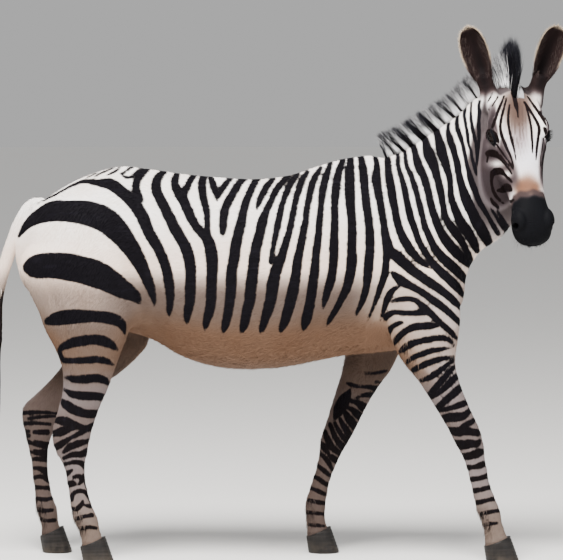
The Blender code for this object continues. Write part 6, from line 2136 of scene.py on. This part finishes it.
def build_coat(skin_faces, points, normals, marks, finish):
    """Short tufts all over the skin, along the lie of the hair, in the colours of the skin under them."""
    draw = np.random.default_rng(41)
    corners = points[skin_faces]
    area, middles = areas(corners), corners.mean(1)
    part = part_of_coat(middles)
    settings = np.array(list(COAT.values()))
    for n, name in enumerate(COAT):
        density, length, width, rise = settings[n]
        wanted = np.nonzero((part == n) & (area > 1e-9) & ~left_bare(middles))[0]
        weight = np.cumsum(area[wanted] * density)
        count = min(int(weight[-1]), MOST_TUFTS)
        spots = (np.arange(count) + draw.uniform(0, 1, count)) / count * weight[-1]
        face = wanted[np.minimum(np.searchsorted(weight, spots), len(wanted) - 1)]
        roots, up, own = sown(draw, skin_faces[face], points, normals, marks)
        keep = ~left_bare(roots)
        roots, up, own = roots[keep], up[keep], {key: rows[keep] for key, rows in own.items()}
        count = len(roots)
        flow = turned(lie_of_hair(roots, up), up, draw.normal(0, 0.13, count))
        short = own.pop("short")
        reach = length * draw.uniform(0.70, 1.20, count) * (1 - 0.6 * short)
        stand = rise * draw.uniform(0.6, 1.5, count)
        ways = unit(flow + up * stand[:, None])
        lines = np.stack([roots - up * min(0.0008, length * 0.05), roots + ways * reach[:, None]], 1)
        half = (width * draw.uniform(0.75, 1.25, count) * (1 - 0.35 * short))[:, None]
        root = stripe_at(roots, up, own["stripe"])
        tip = stripe_at(roots + flow * (reach * 0.7)[:, None], up, root)
        own["stripe"] = np.stack([root, tip], 1)
        across = unit(np.cross(up, flow))
        thing = strands("coat_" + name, lines, half, across, up, own, unwrapped(n, roots), finish)


# Longer hair: its name, density, length, half width, and rise from the skin.
FRINGES = (
    ("fetlock", 26000, 0.017, 0.00075, 0.34),
    ("coronet", 70000, 0.013, 0.00080, 0.16),
    ("ear_edge", 90000, 0.011, 0.00050, 0.55),
    ("ear_hollow", 26000, 0.017, 0.00050, 0.60),
    ("jaw_line", 16000, 0.013, 0.00055, 0.42),
    ("belly_line", 7000, 0.018, 0.00085, 0.34),
    ("elbow", 12000, 0.018, 0.00085, 0.30),
)


def fringe_zones(points, normals):
    """Which kind of longer hair grows at each point, as an index, or -1."""
    x, y, z = points.T
    zone = np.full(len(points), -1)
    middle = leg_middles(points)[1]
    zone[(z > 0.095) & (z < 0.185) & (x < middle - 0.004)] = 0
    zone[(z > 0.060) & (z < 0.078)] = 1
    head = head_share(points) > 0.9
    local = into(head_frame(), points)
    zone[(normals[:, 2] < -0.55) & (z > 1.0) & (x > 0.50) & ~(head & (local[:, 0] > 0.40))] = 4
    trunk = (np.abs(y) < 0.20) & (x > -0.42) & (x < 0.36)
    zone[(normals[:, 2] < -0.80) & (z > 0.56) & (z < 0.74) & trunk] = 5
    zone[(z > 0.60) & (z < 0.74) & (np.abs(y) > 0.06) & (x < middle) & (x > 0.08) & (normals[:, 0] < -0.35)] = 6
    for side in ("left", "right"):
        _, near, height, rim, facing = by_ear(side, points, normals, 0.08)
        zone[near & (facing > 0.2) & (rim > 0.45) & (rim < 0.88) & (height < 0.80)] = 3
        zone[near & ((rim > 0.88) | (height > 0.95))] = 2
    return zone


def build_fringes(skin_faces, points, normals, marks, finish):
    """Longer, bent hair at fetlocks and hoofs, in and round the ears, and along jaw, throat, elbow and belly."""
    draw = np.random.default_rng(61)
    corners = points[skin_faces]
    area, middles = areas(corners), corners.mean(1)
    zone = fringe_zones(middles, unit(normals[skin_faces].mean(1)))
    settings = np.array([row[1:] for row in FRINGES])
    chosen = np.nonzero((zone >= 0) & (area > 1e-9) & ~left_bare(middles))[0]
    weight = np.cumsum(area[chosen] * settings[zone[chosen], 0])
    count = int(weight[-1])
    face = chosen[np.minimum(np.searchsorted(weight, draw.uniform(0, weight[-1], count)), len(chosen) - 1)]
    roots, up, own = sown(draw, skin_faces[face], points, normals, marks)
    own.pop("short")
    kind = zone[face]
    length, half, rise = settings[kind, 1:].T
    flow = turned(lie_of_hair(roots, up), up, draw.normal(0, 0.22, count))
    # The pale edge of the ear keeps its colour in its hair, and the hollow is greyer.
    own["light"][kind == 3] = (0.060, 0.045, 0.042)
    own["stripe"][kind == 3] = FAR
    ways = unit(flow + up * (rise * draw.uniform(0.6, 1.4, count))[:, None])
    bends = flow * 0.25 - up * (0.10 * draw.uniform(0, 1, count))[:, None]
    bends[:, 2] -= np.where(kind == 0, 0.25, 0.05)
    lines = curved(roots - up * 0.0006, ways, bends, length * draw.uniform(0.6, 1.2, count), 2)
    widths = np.stack([half, half * 0.85], 1) * draw.uniform(0.8, 1.2, (count, 1))
    across = unit(np.cross(up, flow))
    part = part_of_coat(roots)
    for n, name in enumerate(COAT):
        here = part == n
        if here.sum() > 20:
            values = {key: rows[here] for key, rows in own.items()}
            grown = (lines[here], widths[here], across[here], up[here], values, unwrapped(n, roots[here]))
            strands("fringe_" + name, *grown, finish)


def build_whiskers(tree, finish):
    """Stiff hairs on lips and chin."""
    draw = np.random.default_rng(62)
    count = 150
    turn = draw.uniform(-2.6, 2.6, count)
    ahead = 0.470 + draw.normal(0, 0.022, count)
    local = np.stack([ahead, 0.052 * np.sin(turn), -0.105 - 0.034 * np.cos(turn)], 1)
    roots, ups = on_skin(tree, out_of(head_frame(), local))
    ways = unit(ups + draw.normal(0, 0.25, (count, 3)))
    bends = np.tile((0.0, 0.0, -0.35), (count, 1)) + draw.normal(0, 0.08, (count, 3))
    lines = curved(roots, ways, bends, draw.uniform(0.010, 0.026, count), 4)
    half = np.tile((0.00030, 0.00026, 0.00022, 0.00016), (count, 1))
    lift = unit(np.cross(ways, (0.2, 0.3, 0.9)))
    patch = chart(turn / 5.4 + 0.5, (ahead - 0.40) / 0.14)
    strands("whiskers", lines, half, lift, unit(np.cross(lift, ways)), {}, patch, finish)


def build_stage():
    """A wide pale floor."""
    bm = bmesh.new()
    bmesh.ops.create_circle(bm, cap_ends=True, segments=96, radius=60.0)
    mesh = finish_mesh(bm, "floor")
    made = Finish("studio_floor")
    made.set(Base_Color=(0.82, 0.81, 0.79), Roughness=0.9, Specular_IOR_Level=0.1)
    mesh.materials.append(made.material)
    floor = bpy.data.objects.new("floor", mesh)
    bpy.context.scene.collection.objects.link(floor)
    floor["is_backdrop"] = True


def build_light(name, place, aim, size, watts, tint):
    lamp = bpy.data.lights.new(name, "AREA")
    lamp.shape, lamp.size, lamp.energy, lamp.color = "DISK", size, watts, tint
    thing = bpy.data.objects.new(name, lamp)
    thing.location = place
    thing.rotation_euler = (Vector(aim) - Vector(place)).to_track_quat("-Z", "Y").to_euler()
    bpy.context.scene.collection.objects.link(thing)


def build_view():
    world = bpy.data.worlds.new("studio_air")
    world.use_nodes = True
    # A little brighter overhead, so that air and floor meet in one tone.
    nodes, links = world.node_tree.nodes, world.node_tree.links
    split, tone = nodes.new("ShaderNodeSeparateXYZ"), nodes.new("ShaderNodeMapRange")
    colour = nodes.new("ShaderNodeCombineColor")
    links.new(nodes.new("ShaderNodeTexCoord").outputs["Generated"], split.inputs[0])
    links.new(split.outputs["Z"], tone.inputs["Value"])
    tone.inputs["To Min"].default_value, tone.inputs["To Max"].default_value = 0.48, 0.66
    for socket in colour.inputs:
        links.new(tone.outputs[0], socket)
    links.new(colour.outputs[0], nodes["Background"].inputs["Color"])
    bpy.context.scene.world = world
    build_light("key", (-1.2, -3.6, 6.5), (0.1, 0, 0.8), 3.5, 1600, (1.0, 0.98, 0.95))
    build_light("fill", (5.5, -4.5, 2.6), (0.2, 0, 0.9), 4.0, 130, (0.95, 0.97, 1.0))
    camera = bpy.data.cameras.new("camera")
    camera.sensor_width, camera.lens = 36.0, 36.0 * VIEW_DISTANCE / (DRAWING_WIDTH / UNITS)
    thing = bpy.data.objects.new("camera", camera)
    target = Vector(VIEW_TARGET) - MIDDLE
    away = Vector((0.0, -math.cos(VIEW_DROP), math.sin(VIEW_DROP)))
    thing.location = target + VIEW_DISTANCE * away
    thing.rotation_euler = (-away).to_track_quat("-Z", "Y").to_euler()
    bpy.context.scene.collection.objects.link(thing)
    bpy.context.scene.camera = thing


def main():
    coat, bare = coat_finish("short_coat", True), coat_finish("skin_coat", False)
    skin = build_skin()
    points, normals = read(skin)
    value, light, dark, muzzle = markings(points, normals)
    ear_marks(points, normals, value, light)
    x, z = points[:, 0], points[:, 2]
    lie = np.clip(smoothstep(0.86, 0.70, z) + smoothstep(0.40, 0.60, x), 0, 1)
    marks = {"stripe": value, "light": light, "dark": dark, "down": lie}
    add_values(skin, marks)
    marks["short"] = muzzle
    faces = np.empty(len(skin.polygons) * 3, np.int32)
    skin.loops.foreach_get("vertex_index", faces)
    for build in (build_coat, build_fringes):
        build(faces.reshape(-1, 3), points, normals, marks, coat)
    skin.transform(Matrix.Translation(-MIDDLE))
    legs = [leg + part for leg in LEGS for part in ("_upper", "_lower")]
    flesh = ["torso", "neck", "head", "ear_left", "ear_right", "tail_dock"] + legs
    piece("skin", skin, bare, flesh)
    horn, wet, moist = horn_finish(), eye_finish(), lid_finish()
    for leg in HOOVES:
        build_hoof(leg, horn)
    tree = BVHTree.FromPolygons([Vector(p) for p in points], [p.vertices for p in skin.polygons])
    for side in ("left", "right"):
        build_eye(side, wet)
        build_lids(side, moist, tree)
    build_whiskers(tree, moist)
    long_hair = hair_finish()
    build_mane(tree, long_hair)
    build_forelock(tree, long_hair)
    build_tail_hair(long_hair)
    build_stage()
    build_view()
    {"solids": plain(SOLIDS_BOX), "visual": plain(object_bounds())}


def plain(value):
    """Plain lists of numbers, however they came."""
    if isinstance(value, dict):
        return {str(key): plain(item) for key, item in value.items()}
    if isinstance(value, (int, float, str)) or value is None:
        return value
    return [plain(item) for item in value]


main()
